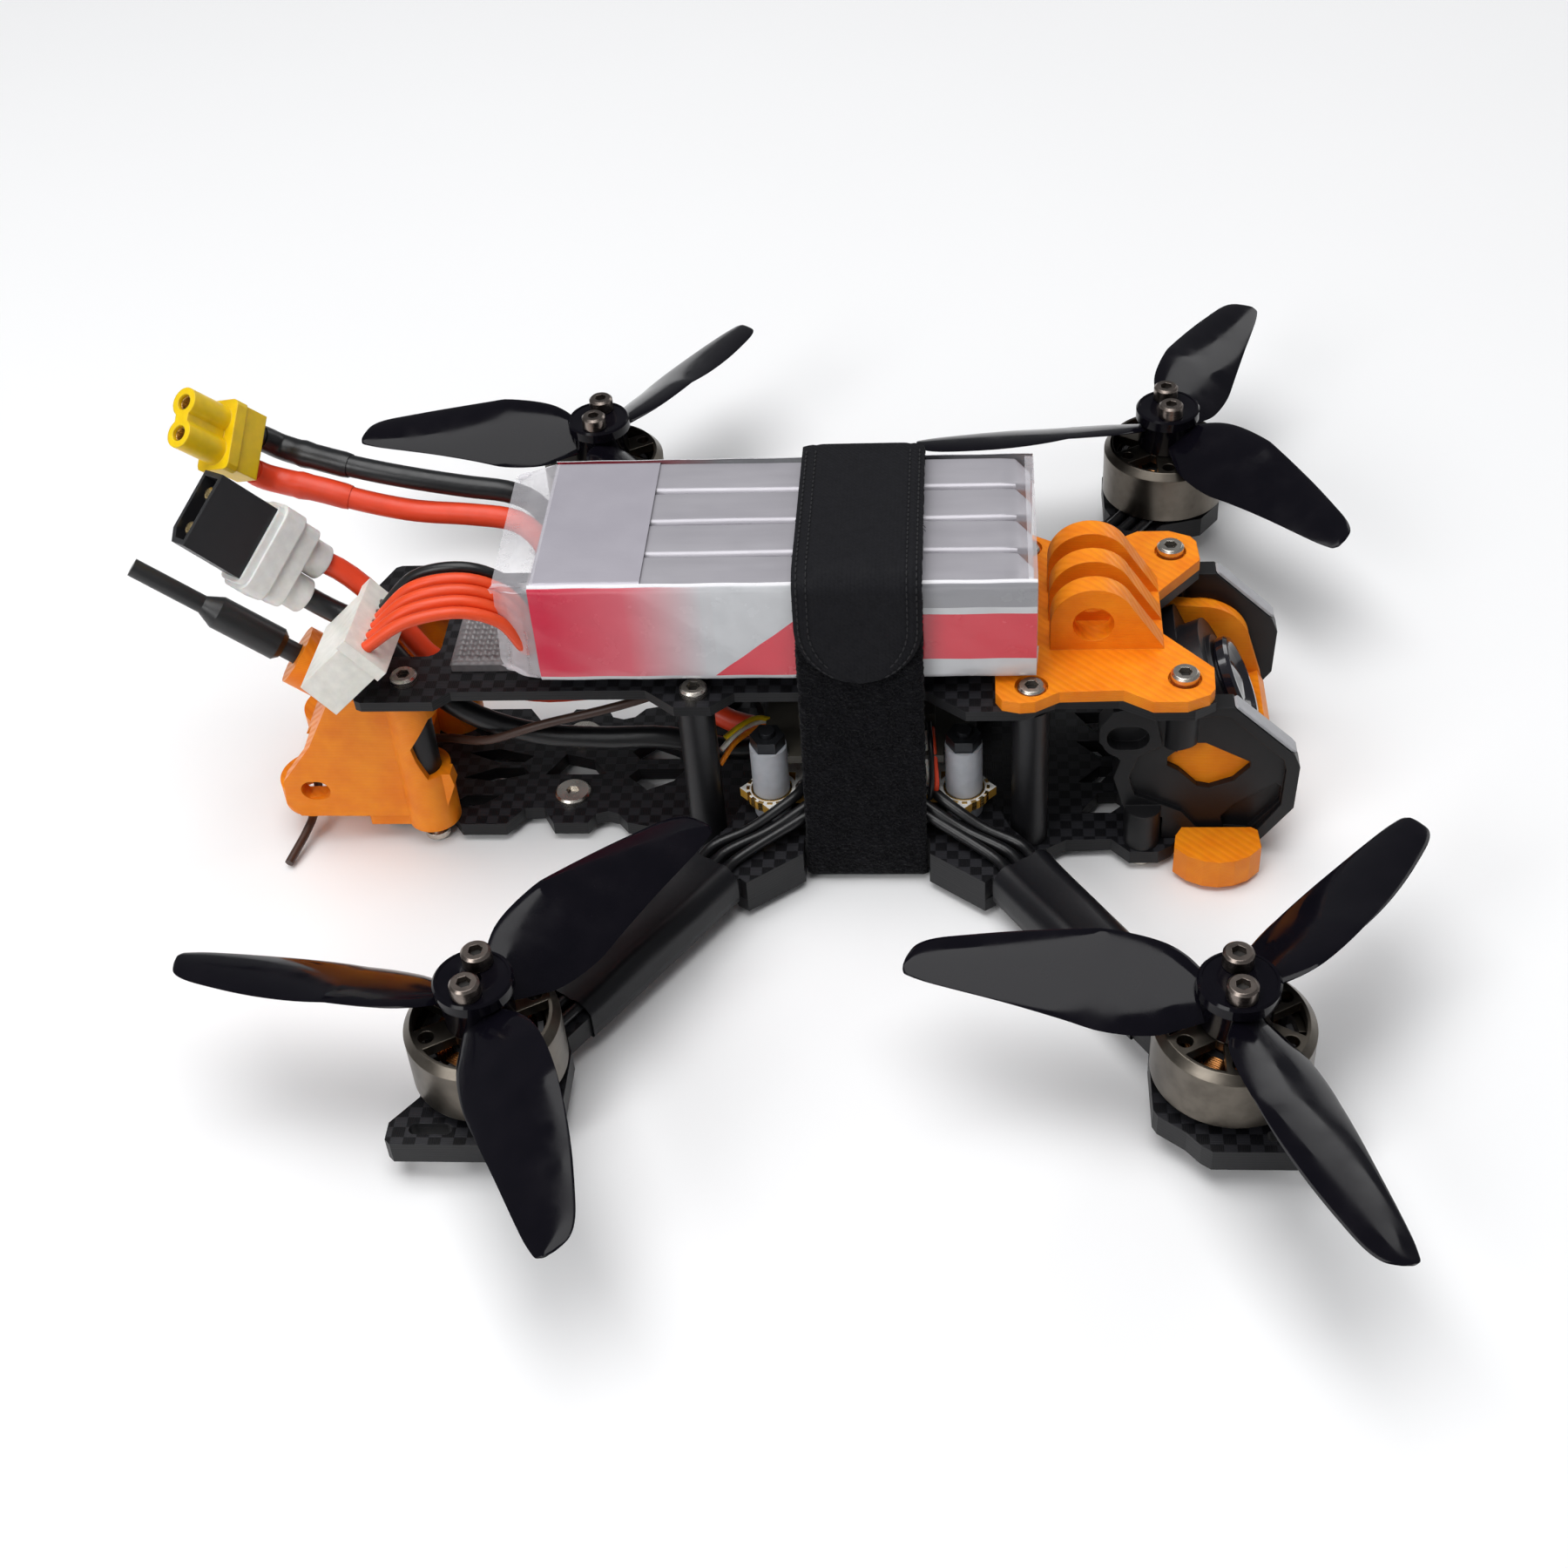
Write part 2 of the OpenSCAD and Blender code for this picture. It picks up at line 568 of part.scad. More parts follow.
module flight_board() {
    color([0.92, 0.91, 0.88]) translate([0, 0, board_z]) linear_extrude(board_t) difference() {
        union() {
            square([28.6, 19.4], center = true);
            square([19.4, 28.6], center = true);
            for (x = [-1, 1], y = [-1, 1]) translate([x * HALF_PITCH, y * HALF_PITCH]) {
                circle(ear_r);
                rotate(45) square([6, 6], center = true);
            }
        }
        for (x = [-1, 1], y = [-1, 1]) translate([x * HALF_PITCH, y * HALF_PITCH]) circle(1.9);
    }
}

// Processor, drivers, transistors and the plug sockets along the board's edges
module board_chips() {
    top = board_z + board_t;
    color([0.08, 0.08, 0.09]) {
        translate([-3.5, -3.5, top]) cube([7, 7, 0.9]);
        for (x = [-1, 1]) translate([x * 8.6 - 2, -2, top]) cube([4, 4, 0.8]);
        for (a = [0 : 90 : 270], k = [-1, 0, 1]) rotate(a)
            translate([10.2, k * 3.6 - 1.5, board_z - 0.9]) cube([3, 3, 0.9]);
        for (x = [-1, 1]) translate([x * 13 - 1.4, -3.6, top]) cube([2.8, 7.2, 2.6]);
    }
}

module board_grommets() {
    color([0.55, 0.56, 0.58]) at_posts() difference() {
        union() {
            translate([0, 0, motor_z]) cylinder(r = 2.45, h = board_z - motor_z);
            translate([0, 0, board_z]) cylinder(r = 1.85, h = board_t);
            translate([0, 0, board_z + board_t]) cylinder(r = 2.45, h = 7.6);
        }
        translate([0, 0, motor_z - 1]) cylinder(r = 1.1, h = 20);
    }
}

grommet_top = board_z + board_t + 7.6;
module board_screws() {
    color([0.06, 0.06, 0.065]) at_posts() {
        translate([0, 0, base_z]) mirror([0, 0, 1]) screw(grommet_top + 2.4 - base_z);
        translate([0, 0, grommet_top]) nut(1.7);
    }
}

module video_transmitter() {
    color([0.16, 0.14, 0.10]) {
        translate([0, 0, vtx_z]) linear_extrude(1.2) difference() {
            square([27, 27], center = true);
            for (x = [-1, 1], y = [-1, 1]) translate([x * HALF_PITCH, y * HALF_PITCH])
                circle(2.7);
        }
        translate([-9, -8, vtx_z + 1.2]) cube([18, 16, 2.4]);
    }
}

module receiver() {
    color([0.10, 0.10, 0.11]) translate([-14, -6.5, top_z - 3]) cube([12, 11, 2.9]);
}

// ---- antennas ---------------------------------------------------------------------------------

module video_antenna() {
    color(BLACK) translate(ANTENNA_ROOT) rotate([0, antenna_pitch - 90, 0]) {
        translate([0, 0, -2]) cylinder(r = 1.4, h = 6.6);
        translate([0, 0, 4.6]) cylinder(r1 = 1.6, r2 = 2.3, h = 0.8);
        translate([0, 0, 5.4]) cylinder(r = 2.3, h = 9);
        translate([0, 0, 14.4]) cylinder(r1 = 2.3, r2 = 1.25, h = 2.2);
        translate([0, 0, 16.6]) cylinder(r = 1.25, h = 10.2);
    }
}

// Coaxial lead from the antenna's foot to the transmitter
COAX = [[-73.8, 0, 20.8], [-70, 0.8, 17.8], [-64, 2.6, 16.2], [-52, 4.6, 16.6],
    [-38, 3.6, 17.8], [-24, 1.6, 17.6], [-14, 0.5, 17.2], [-9.1, 0.5, 17.2]];
module video_coax() {
    color(BLACK) tube(COAX, 1.3);
}

aerial_d = 1.2;
// Receiver aerial: along under the deck, down through the mount's right eyelet and out
AERIAL = [[-14.2, -4, 24.2], [-19, -5.4, 24.1], [-31, -9.6, 22.4], [-43, -9.8, 19],
    [-51, -9.2, 15.8], [-58, -5.6, 13.2], [-64, -5.6, 12], [-73, -7.2, 10.8],
    [-76.2, -7.4, 8], [-76.6, -7.6, 4.8], [-77.6, -11, 2.2], [-79.4, -17.4, 0.9]];
module receiver_antenna() {
    color([0.12, 0.07, 0.05]) tube(AERIAL, aerial_d, [0, 1, 0.3]);
}

// ---- power leads and plugs ----------------------------------------------------------------------

lead_d = 3;

// Drone lead: from the board, back under the deck, up through its slot and into the plug
POWER_RED = [[-15, -1.8, 11.4], [-19, -1, 12], [-27, 1.8, 14.6], [-36, 2.6, 14.9],
    [-45, 1, 15.8], [-53, -0.6, 19.2], [-58.6, -0.6, 23.2], [-61.4, 0, 27], [-64.4, 0.9, 31.4],
    [-68.6, 1.9, 35.6], [-72.6, 1.5, 38.9]];
POWER_BLACK = [[-15, -6, 11.4], [-19, -6.6, 11.8], [-27, -7.2, 14.4], [-36, -7.4, 14.6],
    [-45, -7.2, 15.4], [-53, -6.5, 18.2], [-59.4, -4.9, 22.4], [-63.2, -3.4, 26.6],
    [-66.4, -2.3, 30], [-71.2, -1.5, 32.6], [-74.8, -2.1, 36.2]];

module power_lead_red() {
    color([0.85, 0.12, 0.08]) tube(POWER_RED, lead_d);
}
module power_lead_black() {
    color(BLACK) tube(POWER_BLACK, lead_d);
}

// A plug's own frame: +X out of its mating face, +Y across the pair of contacts
module in_plug_frame(at, dir, across) {
    x = unit(dir);
    z = unit(cross(x, across));
    y = cross(z, x);
    multmatrix([[x[0], y[0], z[0], at[0]], [x[1], y[1], z[1], at[1]],
        [x[2], y[2], z[2], at[2]], [0, 0, 0, 1]]) children();
}

PLUG_AT = [-72.7, 0, 36.2];
PLUG_DIR = [-0.58, -0.24, 0.78];
PLUG_ACROSS = [0.45, 0.70, 0.56];
contact_gap = 2.5;

// Mating half of the drone's plug: a shell with a chamfered corner pair and two pins
module power_plug() {
    color([0.03, 0.03, 0.035]) in_plug_frame(PLUG_AT, PLUG_DIR, PLUG_ACROSS) {
        difference() {
            translate([10.2, 0, 0]) rotate([90, 0, 90]) linear_extrude(8.8)
                polygon([[-5.1, -2.6], [5.1, -2.6], [5.1, 2.6], [-3.3, 2.6], [-5.1, 1]]);
            translate([12.4, 0, 0]) rotate([90, 0, 90]) linear_extrude(10)
                polygon([[-4.4, -1.95], [4.4, -1.95], [4.4, 1.95], [-3, 1.95], [-4.4, 0.7]]);
        }
        for (s = [-1, 1]) translate([12, s * contact_gap, 0]) rotate([0, 90, 0])
            cylinder(r = 0.95, h = 6.2);
    }
}

module plug_boot() {
    color([0.85, 0.85, 0.83]) in_plug_frame(PLUG_AT, PLUG_DIR, PLUG_ACROSS) difference() {
        union() {
            for (s = [-1, 1]) translate([0, s * contact_gap, 0]) rotate([0, 90, 0])
                cylinder(r = 2.45, h = 5.5);
            translate([3.4, 0, 0]) rotate([90, 0, 90]) linear_extrude(6.8)
                polygon(round_rect(11.4, 6.3, 1.6));
            translate([6.2, 0, 0]) rotate([90, 0, 90]) linear_extrude(3)
                polygon(round_rect(12.4, 7.3, 1.8));
        }
        for (s = [-1, 1]) translate([-1, s * contact_gap, 0]) rotate([0, 90, 0])
            cylinder(r = 1.55, h = 8);
    }
}

// Battery leads: out of the wrap's rear end and back to the socket
BATTERY_RED = [[-42.4, 7.6, 33.4], [-43.4, 8, 36.4], [-46.4, 8.5, 39], [-52, 8.9, 39.8],
    [-59.6, 9.4, 40.2], [-66, 9.6, 41.6], [-72, 10.2, 43.2], [-77.6, 11.3, 44],
    [-80, 10.5, 45.6], [-81.86, 8.52, 49.04]];
BATTERY_BLACK = [[-42.4, 10.8, 36.4], [-43.6, 11, 39.6], [-47, 11, 41.8], [-53, 11, 42.9],
    [-60, 11.2, 44.2], [-67, 12, 45.4], [-73.6, 13.8, 46.2], [-77.8, 15, 46.9],
    [-79.6, 14.2, 48.7], [-81.44, 11.88, 51.56]];

module battery_lead_red() {
    color([0.88, 0.15, 0.08]) tube(BATTERY_RED, lead_d);
}
module battery_lead_black() {
    color(BLACK) tube(BATTERY_BLACK, lead_d);
}

SOCKET_AT = [-81, 11, 49.2];
SOCKET_DIR = [-0.43, -0.5, 0.75];
SOCKET_ACROSS = [0.1, 0.8, 0.59];
socket_gap = 2.1;

module battery_socket() {
    color([0.95, 0.78, 0.05]) in_plug_frame(SOCKET_AT, SOCKET_DIR, SOCKET_ACROSS) difference() {
        union() {
            rotate([90, 0, 90]) linear_extrude(5)
                polygon([[-4.4, -2.4], [4.4, -2.4], [4.4, 2.4], [-2.9, 2.4], [-4.4, 1]]);
            translate([3.8, 0, 0]) rotate([90, 0, 90]) linear_extrude(1.8)
                polygon(round_rect(9.6, 5.5, 0.8, 2));
            for (s = [-1, 1]) translate([5, s * socket_gap, 0]) rotate([0, 90, 0])
                cylinder(r = 1.95, h = 7);
            translate([5, -socket_gap, -1.1]) cube([7, 2 * socket_gap, 2.2]);
        }
        for (s = [-1, 1]) {
            translate([6, s * socket_gap, 0]) rotate([0, 90, 0]) cylinder(r = 1.05, h = 8);
            translate([-1, s * socket_gap, 0]) rotate([0, 90, 0]) cylinder(r = 1.55, h = 4);
        }
    }
}

// Balance plug: five ways, with the wires leaving its upper side
BALANCE_AT = [-65.1, -11.4, 33.6];
BALANCE_TURN = [-10, -42, 8];
way_pitch = 2.5;

module balance_plug() {
    color([0.90, 0.89, 0.85]) translate(BALANCE_AT) rotate(BALANCE_TURN) difference() {
        union() {
            translate([-4.9, -7.45, -2.875]) cube([9.8, 14.9, 5.75]);
            translate([3.2, -7.9, -3.3]) cube([1.7, 15.8, 6.6]);
        }
        for (k = [-2 : 2]) translate([0, k * way_pitch, 0]) rotate([0, 90, 0])
            cylinder(r = 0.9, h = 6);
        for (k = [-2 : 2]) translate([-6, k * way_pitch - 0.8, -1]) cube([4, 1.6, 2]);
    }
}

balance_d = 1.6;
// Five parallel leads; k counts them across the plug, from its right to its left end
function balance_route(k) = [[-42.2, -3.8 + 1.7 * k, 31.2 + 0.3 * k],
    [-42.6, -9 + 1.7 * k, 34.6 + 0.3 * k], [-45, -9.8 + 1.7 * k, 39.4 + 0.3 * k],
    [-50, -10.6 + 1.8 * k, 42 + 0.4 * k], [-56.6, -11.4 + 2.2 * k, 41.2 + 0.2 * k],
    [-61.9, -11.9 + 2.5 * k, 36.9 - 0.4 * k]];
module balance_leads() {
    color([0.85, 0.15, 0.08]) for (k = [-2 : 2]) tube(balance_route(k), balance_d, [0, 1, 1]);
}

// ---- arms' wiring -----------------------------------------------------------------------------------

sleeve_s0 = 1.6;
sleeve_s1 = 30;
sleeve_half = 4.5;

module on_arm_axis(c) {
    scale_corner(c) translate([ARM_ROOT[0], ARM_ROOT[1], 0]) rotate(arm_angle) children();
}

// Heat-shrink sleeve over an arm and its three wires, open at both ends
module arm_sleeves() {
    z0 = arm_z - 0.35;
    z1 = motor_z + 2.2;
    color([0.05, 0.05, 0.055]) for (c = CORNERS) on_arm_axis(c) translate([sleeve_s0, 0, 0])
        rotate([90, 0, 90]) linear_extrude(sleeve_s1 - sleeve_s0) difference() {
            polygon([[-4, z0], [4, z0], [4.5, z0 + 0.6], [4.5, z1 - 2], [3.7, z1 - 0.7],
                [2.4, z1], [-2.4, z1], [-3.7, z1 - 0.7], [-4.5, z1 - 2], [-4.5, z0 + 0.6]]);
            polygon([[-4, z0 + 0.3], [4, z0 + 0.3], [4.1, z0 + 0.6], [4.1, z1 - 2.1],
                [3.4, z1 - 1], [2.3, z1 - 0.4], [-2.3, z1 - 0.4], [-3.4, z1 - 1],
                [-4.1, z1 - 2.1], [-4.1, z0 + 0.6]]);
        }
}

wire_d = 1.4;
wire_z = motor_z + wire_d / 2 + 0.03;
// First points of an arm's three wires, from the board's edge to the arm, for one corner
WIRE_STARTS = [
    [[2.8, 13.9, 11.1], [3.2, 15.5, 11.1], [6.6, 16.9, 10], [10, 18.6, 8.8]],
    [[5.6, 13.8, 11.1], [6.2, 15.4, 11.1], [9, 17.2, 10], [13, 19.2, 8.3]],
    [[8.4, 13.6, 11.1], [9.2, 15.2, 11.1], [12, 17.2, 10], [15.6, 18.9, 8.3]]];
function wire_point(s, t, z) = [on_arm(s, t)[0], on_arm(s, t)[1], z];
function wire_route(k) = concat(WIRE_STARTS[k + 1], [
    wire_point(-1.6, 2.1 * k, wire_z + 0.2), wire_point(2.4, 2.1 * k, wire_z),
    wire_point(17, 2.1 * k, wire_z), wire_point(arm_len - 7.8 + 0.4 * abs(k), 2.1 * k, wire_z)]);

module motor_wires() {
    color([0.04, 0.04, 0.045]) for (c = CORNERS) scale_corner(c)
        for (k = [-1 : 1]) tube(wire_route(k), wire_d, [0, 0, 1]);
}

// ---- motors ---------------------------------------------------------------------------------------

base_disc_t = 1.4;
bell_z = motor_z + 1.7;
bell_h = 8.1;
bell_top = bell_z + bell_h;
roof_t = 1.4;
shaft_r = 1.0;
bearing_r = 2.0;
bearing_h = 1.5;
tube_top = motor_z + 7.2;
stator_z = motor_z + 2.8;
stator_h = 4;
stator_r = 7;
teeth = 9;

module motor_screws() {
    color(STEEL) at_corners() for (a = [45 : 90 : 315])
        translate([motor_pcd / 2 * cos(a), motor_pcd / 2 * sin(a), arm_z])
            mirror([0, 0, 1]) screw(arm_t + base_disc_t - 0.2, 1.75, 1.1);
}

module motor_bases() {
    color([0.12, 0.12, 0.13]) at_corners() translate([0, 0, motor_z]) difference() {
        union() {
            cylinder(r = 7.2, h = base_disc_t);
            cylinder(r = 2.95, h = tube_top - motor_z);
        }
        for (a = [45 : 90 : 315]) translate([motor_pcd / 2 * cos(a), motor_pcd / 2 * sin(a), -1])
            cylinder(r = m2 + hole_play, h = 3);
        translate([0, 0, -1]) cylinder(r = shaft_r + 0.3, h = 20);
        translate([0, 0, -0.1]) cylinder(r = bearing_r, h = bearing_h + 0.3);
        translate([0, 0, tube_top - motor_z - bearing_h]) cylinder(r = bearing_r, h = 5);
    }
}

module motor_bearings() {
    color(STEEL) at_corners() for (z = [motor_z + 0.2, tube_top - bearing_h])
        translate([0, 0, z]) difference() {
            cylinder(r = bearing_r, h = bearing_h);
            translate([0, 0, -1]) cylinder(r = shaft_r + 0.03, h = 4);
        }
}

module tooth_profile(width) {
    polygon([[3.6, -width / 2], [6.5, -width / 2], [6.5, width / 2], [3.6, width / 2]]);
}

module motor_stators() {
    color([0.25, 0.25, 0.26]) at_corners() translate([0, 0, stator_z]) linear_extrude(stator_h)
        difference() {
            union() {
                circle(4);
                for (k = [0 : teeth - 1]) rotate(360 * k / teeth) tooth_profile(1.1);
                difference() {
                    circle(stator_r);
                    circle(stator_r - 0.7);
                    for (k = [0 : teeth - 1]) rotate(360 * (k + 0.5) / teeth)
                        translate([stator_r - 1.2, -0.45]) square([2, 0.9]);
                }
            }
            circle(3);
        }
}

module motor_windings() {
    color([0.72, 0.38, 0.14]) at_corners() translate([0, 0, stator_z - 0.6]) difference() {
        linear_extrude(stator_h + 1.2) for (k = [0 : teeth - 1]) rotate(360 * k / teeth)
            polygon([[4.1, -1.25], [5.95, -1.75], [5.95, 1.75], [4.1, 1.25]]);
        translate([0, 0, 0.6 - 0.02]) linear_extrude(stator_h + 0.04)
            for (k = [0 : teeth - 1]) rotate(360 * k / teeth) tooth_profile(1.14);
    }
}

// Motor bell with its spoked roof, its shaft and a ring of magnets
module bell(c) {
    r = bell_d / 2;
    wall = 1;
    spoke_w = 3.2;
    z = bell_z;
    color(NICKEL) translate([motor_at(c)[0], motor_at(c)[1], 0]) {
        difference() {
            union() {
                rotate_extrude() polygon([[r - wall, z], [r, z], [r, bell_top - 1],
                    [r - 0.9, bell_top], [0, bell_top], [0, bell_top - roof_t - 0.6],
                    [2.4, bell_top - roof_t - 0.6], [2.4, bell_top - roof_t],
                    [r - wall, bell_top - roof_t]]);
                translate([0, 0, motor_z + 0.1]) cylinder(r = shaft_r, h = bell_top - motor_z + 3);
            }
            translate([0, 0, bell_top - roof_t - 0.1]) linear_extrude(3) difference() {
                circle(r - 1.3);
                circle(4);
                for (k = [0 : 5]) rotate(60 * k + 30)
                    translate([0, -spoke_w / 2]) square([r, spoke_w]);
            }
            for (k = [0 : 5]) rotate(60 * k + 30) translate([r - 2.5, 0, bell_top - 3])
                cylinder(r = 0.95, h = 5);
            rotate(c[4]) for (s = [-1, 1]) translate([s * 2.5, 0, bell_top - roof_t - 1])
                cylinder(r = m2 + hole_play, h = 5);
        }
        for (k = [0 : 11]) rotate(30 * k + 2) rotate_extrude(angle = 26)
            translate([stator_r + 0.35, z + 0.8]) square([0.85, 4.8]);
    }
}

module bell_rear_right() { bell(CORNERS[0]); }
module bell_front_right() { bell(CORNERS[1]); }
module bell_front_left() { bell(CORNERS[2]); }
module bell_rear_left() { bell(CORNERS[3]); }

// ---- propellers -------------------------------------------------------------------------------------

hub_r = 4.75;
hub_top = bell_top + 6.5;
blade_z = bell_top + 2.7;

// Blade outline: share of the tip radius, then the leading and the trailing edge's distance
// from the radius through the tip
BLADE = [[0.09, 2.6, 2.4], [0.16, 4.6, 3.4], [0.24, 5.8, 4.3], [0.37, 6.5, 4.4], [0.52, 6.6, 3.6],
    [0.68, 6.2, 2.6], [0.83, 5.4, 1.7], [0.92, 4.7, 1.1], [0.97, 3.7, 0.6], [0.993, 2.2, 0.25],
    [1, 1.1, -0.3]];
section_sides = 12;

function blade_ring(b) =
    let (r = b[0] * prop_d / 2, mid = (b[1] - b[2]) / 2, half = (b[1] + b[2]) / 2,
        slope = min(prop_pitch / (2 * PI * r), 0.5), thick = 0.5 + 1.0 * (1 - b[0]))
    [for (k = [0 : section_sides - 1])
        let (a = 360 * k / section_sides, t = mid + half * cos(a),
            bow = 0.05 * 2 * half * (1 - cos(a) * cos(a)))
        [r, t, blade_z + t * slope + bow + thick / 2 * sin(a)]];

module blade() {
    rings = [for (b = BLADE) each blade_ring(b)];
    n = section_sides;
    last = (len(BLADE) - 1) * n;
    walls = [for (i = [0 : len(BLADE) - 2], k = [0 : n - 1])
        let (a = i * n + k, b = i * n + (k + 1) % n)
        for (f = [[a, a + n, b + n], [a, b + n, b]]) f];
    caps = [[for (k = [0 : n - 1]) k], [for (k = [n - 1 : -1 : 0]) last + k]];
    polyhedron(points = rings, faces = concat(walls, caps), convexity = 4);
}

module prop(c) {
    color([0.03, 0.03, 0.035]) translate([motor_at(c)[0], motor_at(c)[1], 0]) difference() {
        union() {
            translate([0, 0, hub_top - 1.8]) cylinder(r = hub_r, h = 1.8);
            translate([0, 0, bell_top]) cylinder(r = 4.1, h = 5);
            for (k = [0 : 2]) rotate(c[2] + 120 * k) mirror([0, c[3] > 0 ? 0 : 1, 0]) blade();
        }
        translate([0, 0, bell_top - 1]) cylinder(r = shaft_r + hole_play, h = 4.5);
        rotate(c[4]) for (s = [-1, 1]) translate([s * 2.5, 0, bell_top - 1])
            cylinder(r = m2 + hole_play, h = 12);
    }
}

module prop_rear_right() { prop(CORNERS[0]); }
module prop_front_right() { prop(CORNERS[1]); }
module prop_front_left() { prop(CORNERS[2]); }
module prop_rear_left() { prop(CORNERS[3]); }

module prop_screws(c) {
    color(STEEL) translate([motor_at(c)[0], motor_at(c)[1], hub_top]) rotate(c[4])
        for (s = [-1, 1]) translate([s * 2.5, 0, 0]) screw(hub_top - bell_top + 1.2, head_r, 2);
}

module prop_screws_rear_right() { prop_screws(CORNERS[0]); }
module prop_screws_front_right() { prop_screws(CORNERS[1]); }
module prop_screws_front_left() { prop_screws(CORNERS[2]); }
module prop_screws_rear_left() { prop_screws(CORNERS[3]); }

base_plate();
arm_rear_right();
arm_front_right();
arm_front_left();
arm_rear_left();
top_plate();
standoffs();
frame_screws_top();
frame_screws_bottom();
battery_pad();
battery_cells();
battery_wrap();
battery_strap();
strap_tab();
rear_mount();
action_camera_mount();
cage_right();
cage_left();
front_bumpers();
camera_bracket();
camera_body();
camera_lens();
camera_pins();
flight_board();
board_chips();
board_grommets();
board_screws();
video_transmitter();
receiver();
video_antenna();
video_coax();
receiver_antenna();
power_lead_red();
power_lead_black();
power_plug();
plug_boot();
battery_lead_red();
battery_lead_black();
battery_socket();
balance_leads();
balance_plug();
arm_sleeves();
motor_wires();
motor_screws();
motor_bases();
motor_bearings();
motor_stators();
motor_windings();
bell_rear_right();
bell_front_right();
bell_front_left();
bell_rear_left();
prop_rear_right();
prop_front_right();
prop_front_left();
prop_rear_left();
prop_screws_rear_right();
prop_screws_front_right();
prop_screws_front_left();
prop_screws_rear_left();
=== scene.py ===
import json
import math
import random

import bpy
from mathutils import Matrix, Quaternion, Vector


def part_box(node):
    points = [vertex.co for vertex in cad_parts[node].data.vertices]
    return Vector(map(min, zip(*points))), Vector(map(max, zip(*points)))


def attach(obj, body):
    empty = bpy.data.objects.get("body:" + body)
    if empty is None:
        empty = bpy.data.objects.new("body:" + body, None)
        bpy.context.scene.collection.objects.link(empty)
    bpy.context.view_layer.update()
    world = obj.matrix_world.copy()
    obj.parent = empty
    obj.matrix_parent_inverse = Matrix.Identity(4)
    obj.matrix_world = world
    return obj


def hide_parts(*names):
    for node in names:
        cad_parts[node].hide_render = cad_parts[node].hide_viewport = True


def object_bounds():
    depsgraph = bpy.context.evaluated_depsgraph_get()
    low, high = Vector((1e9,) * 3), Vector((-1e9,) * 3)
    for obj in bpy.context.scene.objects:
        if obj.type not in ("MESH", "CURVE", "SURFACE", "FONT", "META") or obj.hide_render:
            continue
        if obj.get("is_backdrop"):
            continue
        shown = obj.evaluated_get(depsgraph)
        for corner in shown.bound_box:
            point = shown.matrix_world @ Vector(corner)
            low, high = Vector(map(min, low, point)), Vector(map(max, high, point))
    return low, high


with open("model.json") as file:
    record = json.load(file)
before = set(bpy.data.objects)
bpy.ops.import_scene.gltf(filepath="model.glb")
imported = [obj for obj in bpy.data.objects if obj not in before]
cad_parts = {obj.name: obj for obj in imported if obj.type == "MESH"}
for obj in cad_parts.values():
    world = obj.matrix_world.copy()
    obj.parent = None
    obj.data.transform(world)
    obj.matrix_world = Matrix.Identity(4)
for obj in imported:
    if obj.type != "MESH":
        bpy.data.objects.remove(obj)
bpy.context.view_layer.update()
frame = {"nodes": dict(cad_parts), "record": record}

NODES = frame["nodes"]
BODY = "frame"
MM = 0.001
scene = bpy.context.scene
dice = random.Random(7)
CORNER_SIDES = 9


# ---- camera, light and floor ----

CAMERA_AT = (14.2749, -227.9828, 205.586)
CAMERA_YAW = -0.117206
CAMERA_PITCH = 0.732069
CAMERA_ROLL = -0.083669
CAMERA_LENS = 50.405
CAMERA_SENSOR = 36
CLIP_NEAR, CLIP_FAR = 0.01, 20
WORLD_COLOUR, WORLD_STRENGTH = (0.85, 0.87, 0.9, 1), 0.22


def make_camera():
    """The photograph's own viewpoint."""
    ahead = Vector((math.sin(CAMERA_YAW) * math.cos(CAMERA_PITCH),
                    math.cos(CAMERA_YAW) * math.cos(CAMERA_PITCH), -math.sin(CAMERA_PITCH)))
    right = Vector((math.cos(CAMERA_YAW), -math.sin(CAMERA_YAW), 0))
    up = right.cross(ahead)
    c, s = math.cos(CAMERA_ROLL), math.sin(CAMERA_ROLL)
    right, up = c * right + s * up, c * up - s * right
    data = bpy.data.cameras.new("camera")
    data.lens = CAMERA_LENS
    data.sensor_width = CAMERA_SENSOR
    data.clip_start, data.clip_end = CLIP_NEAR, CLIP_FAR
    camera = bpy.data.objects.new("camera", data)
    scene.collection.objects.link(camera)
    turn = Matrix((right, up, -ahead)).transposed().to_4x4()
    camera.matrix_world = Matrix.Translation(Vector(CAMERA_AT) * MM) @ turn
    scene.camera = camera


def area_light(name, at, aim, size, power):
    data = bpy.data.lights.new(name, "AREA")
    data.shape = "RECTANGLE"
    data.size, data.size_y = size
    data.energy = power
    lamp = bpy.data.objects.new(name, data)
    scene.collection.objects.link(lamp)
    lamp.location = at
    lamp.rotation_euler = (Vector(aim) - Vector(at)).to_track_quat("-Z", "Y").to_euler()


def make_light():
    scene.view_settings.view_transform = "Standard"
    world = bpy.data.worlds.new("studio")
    world.use_nodes = True
    sky = world.node_tree.nodes["Background"].inputs
    sky["Color"].default_value = WORLD_COLOUR
    sky["Strength"].default_value = WORLD_STRENGTH
    scene.world = world
    area_light("overhead", (-0.1, -0.05, 0.9), (0, 0, 0), (0.9, 0.7), 7.5)
    area_light("key", (-0.45, -0.6, 0.5), (0, 0, 0.01), (0.4, 0.35), 2.4)
    area_light("rim", (0.55, 0.7, 0.45), (0, 0, 0.02), (0.25, 0.5), 0.9)


# ---- materials ----

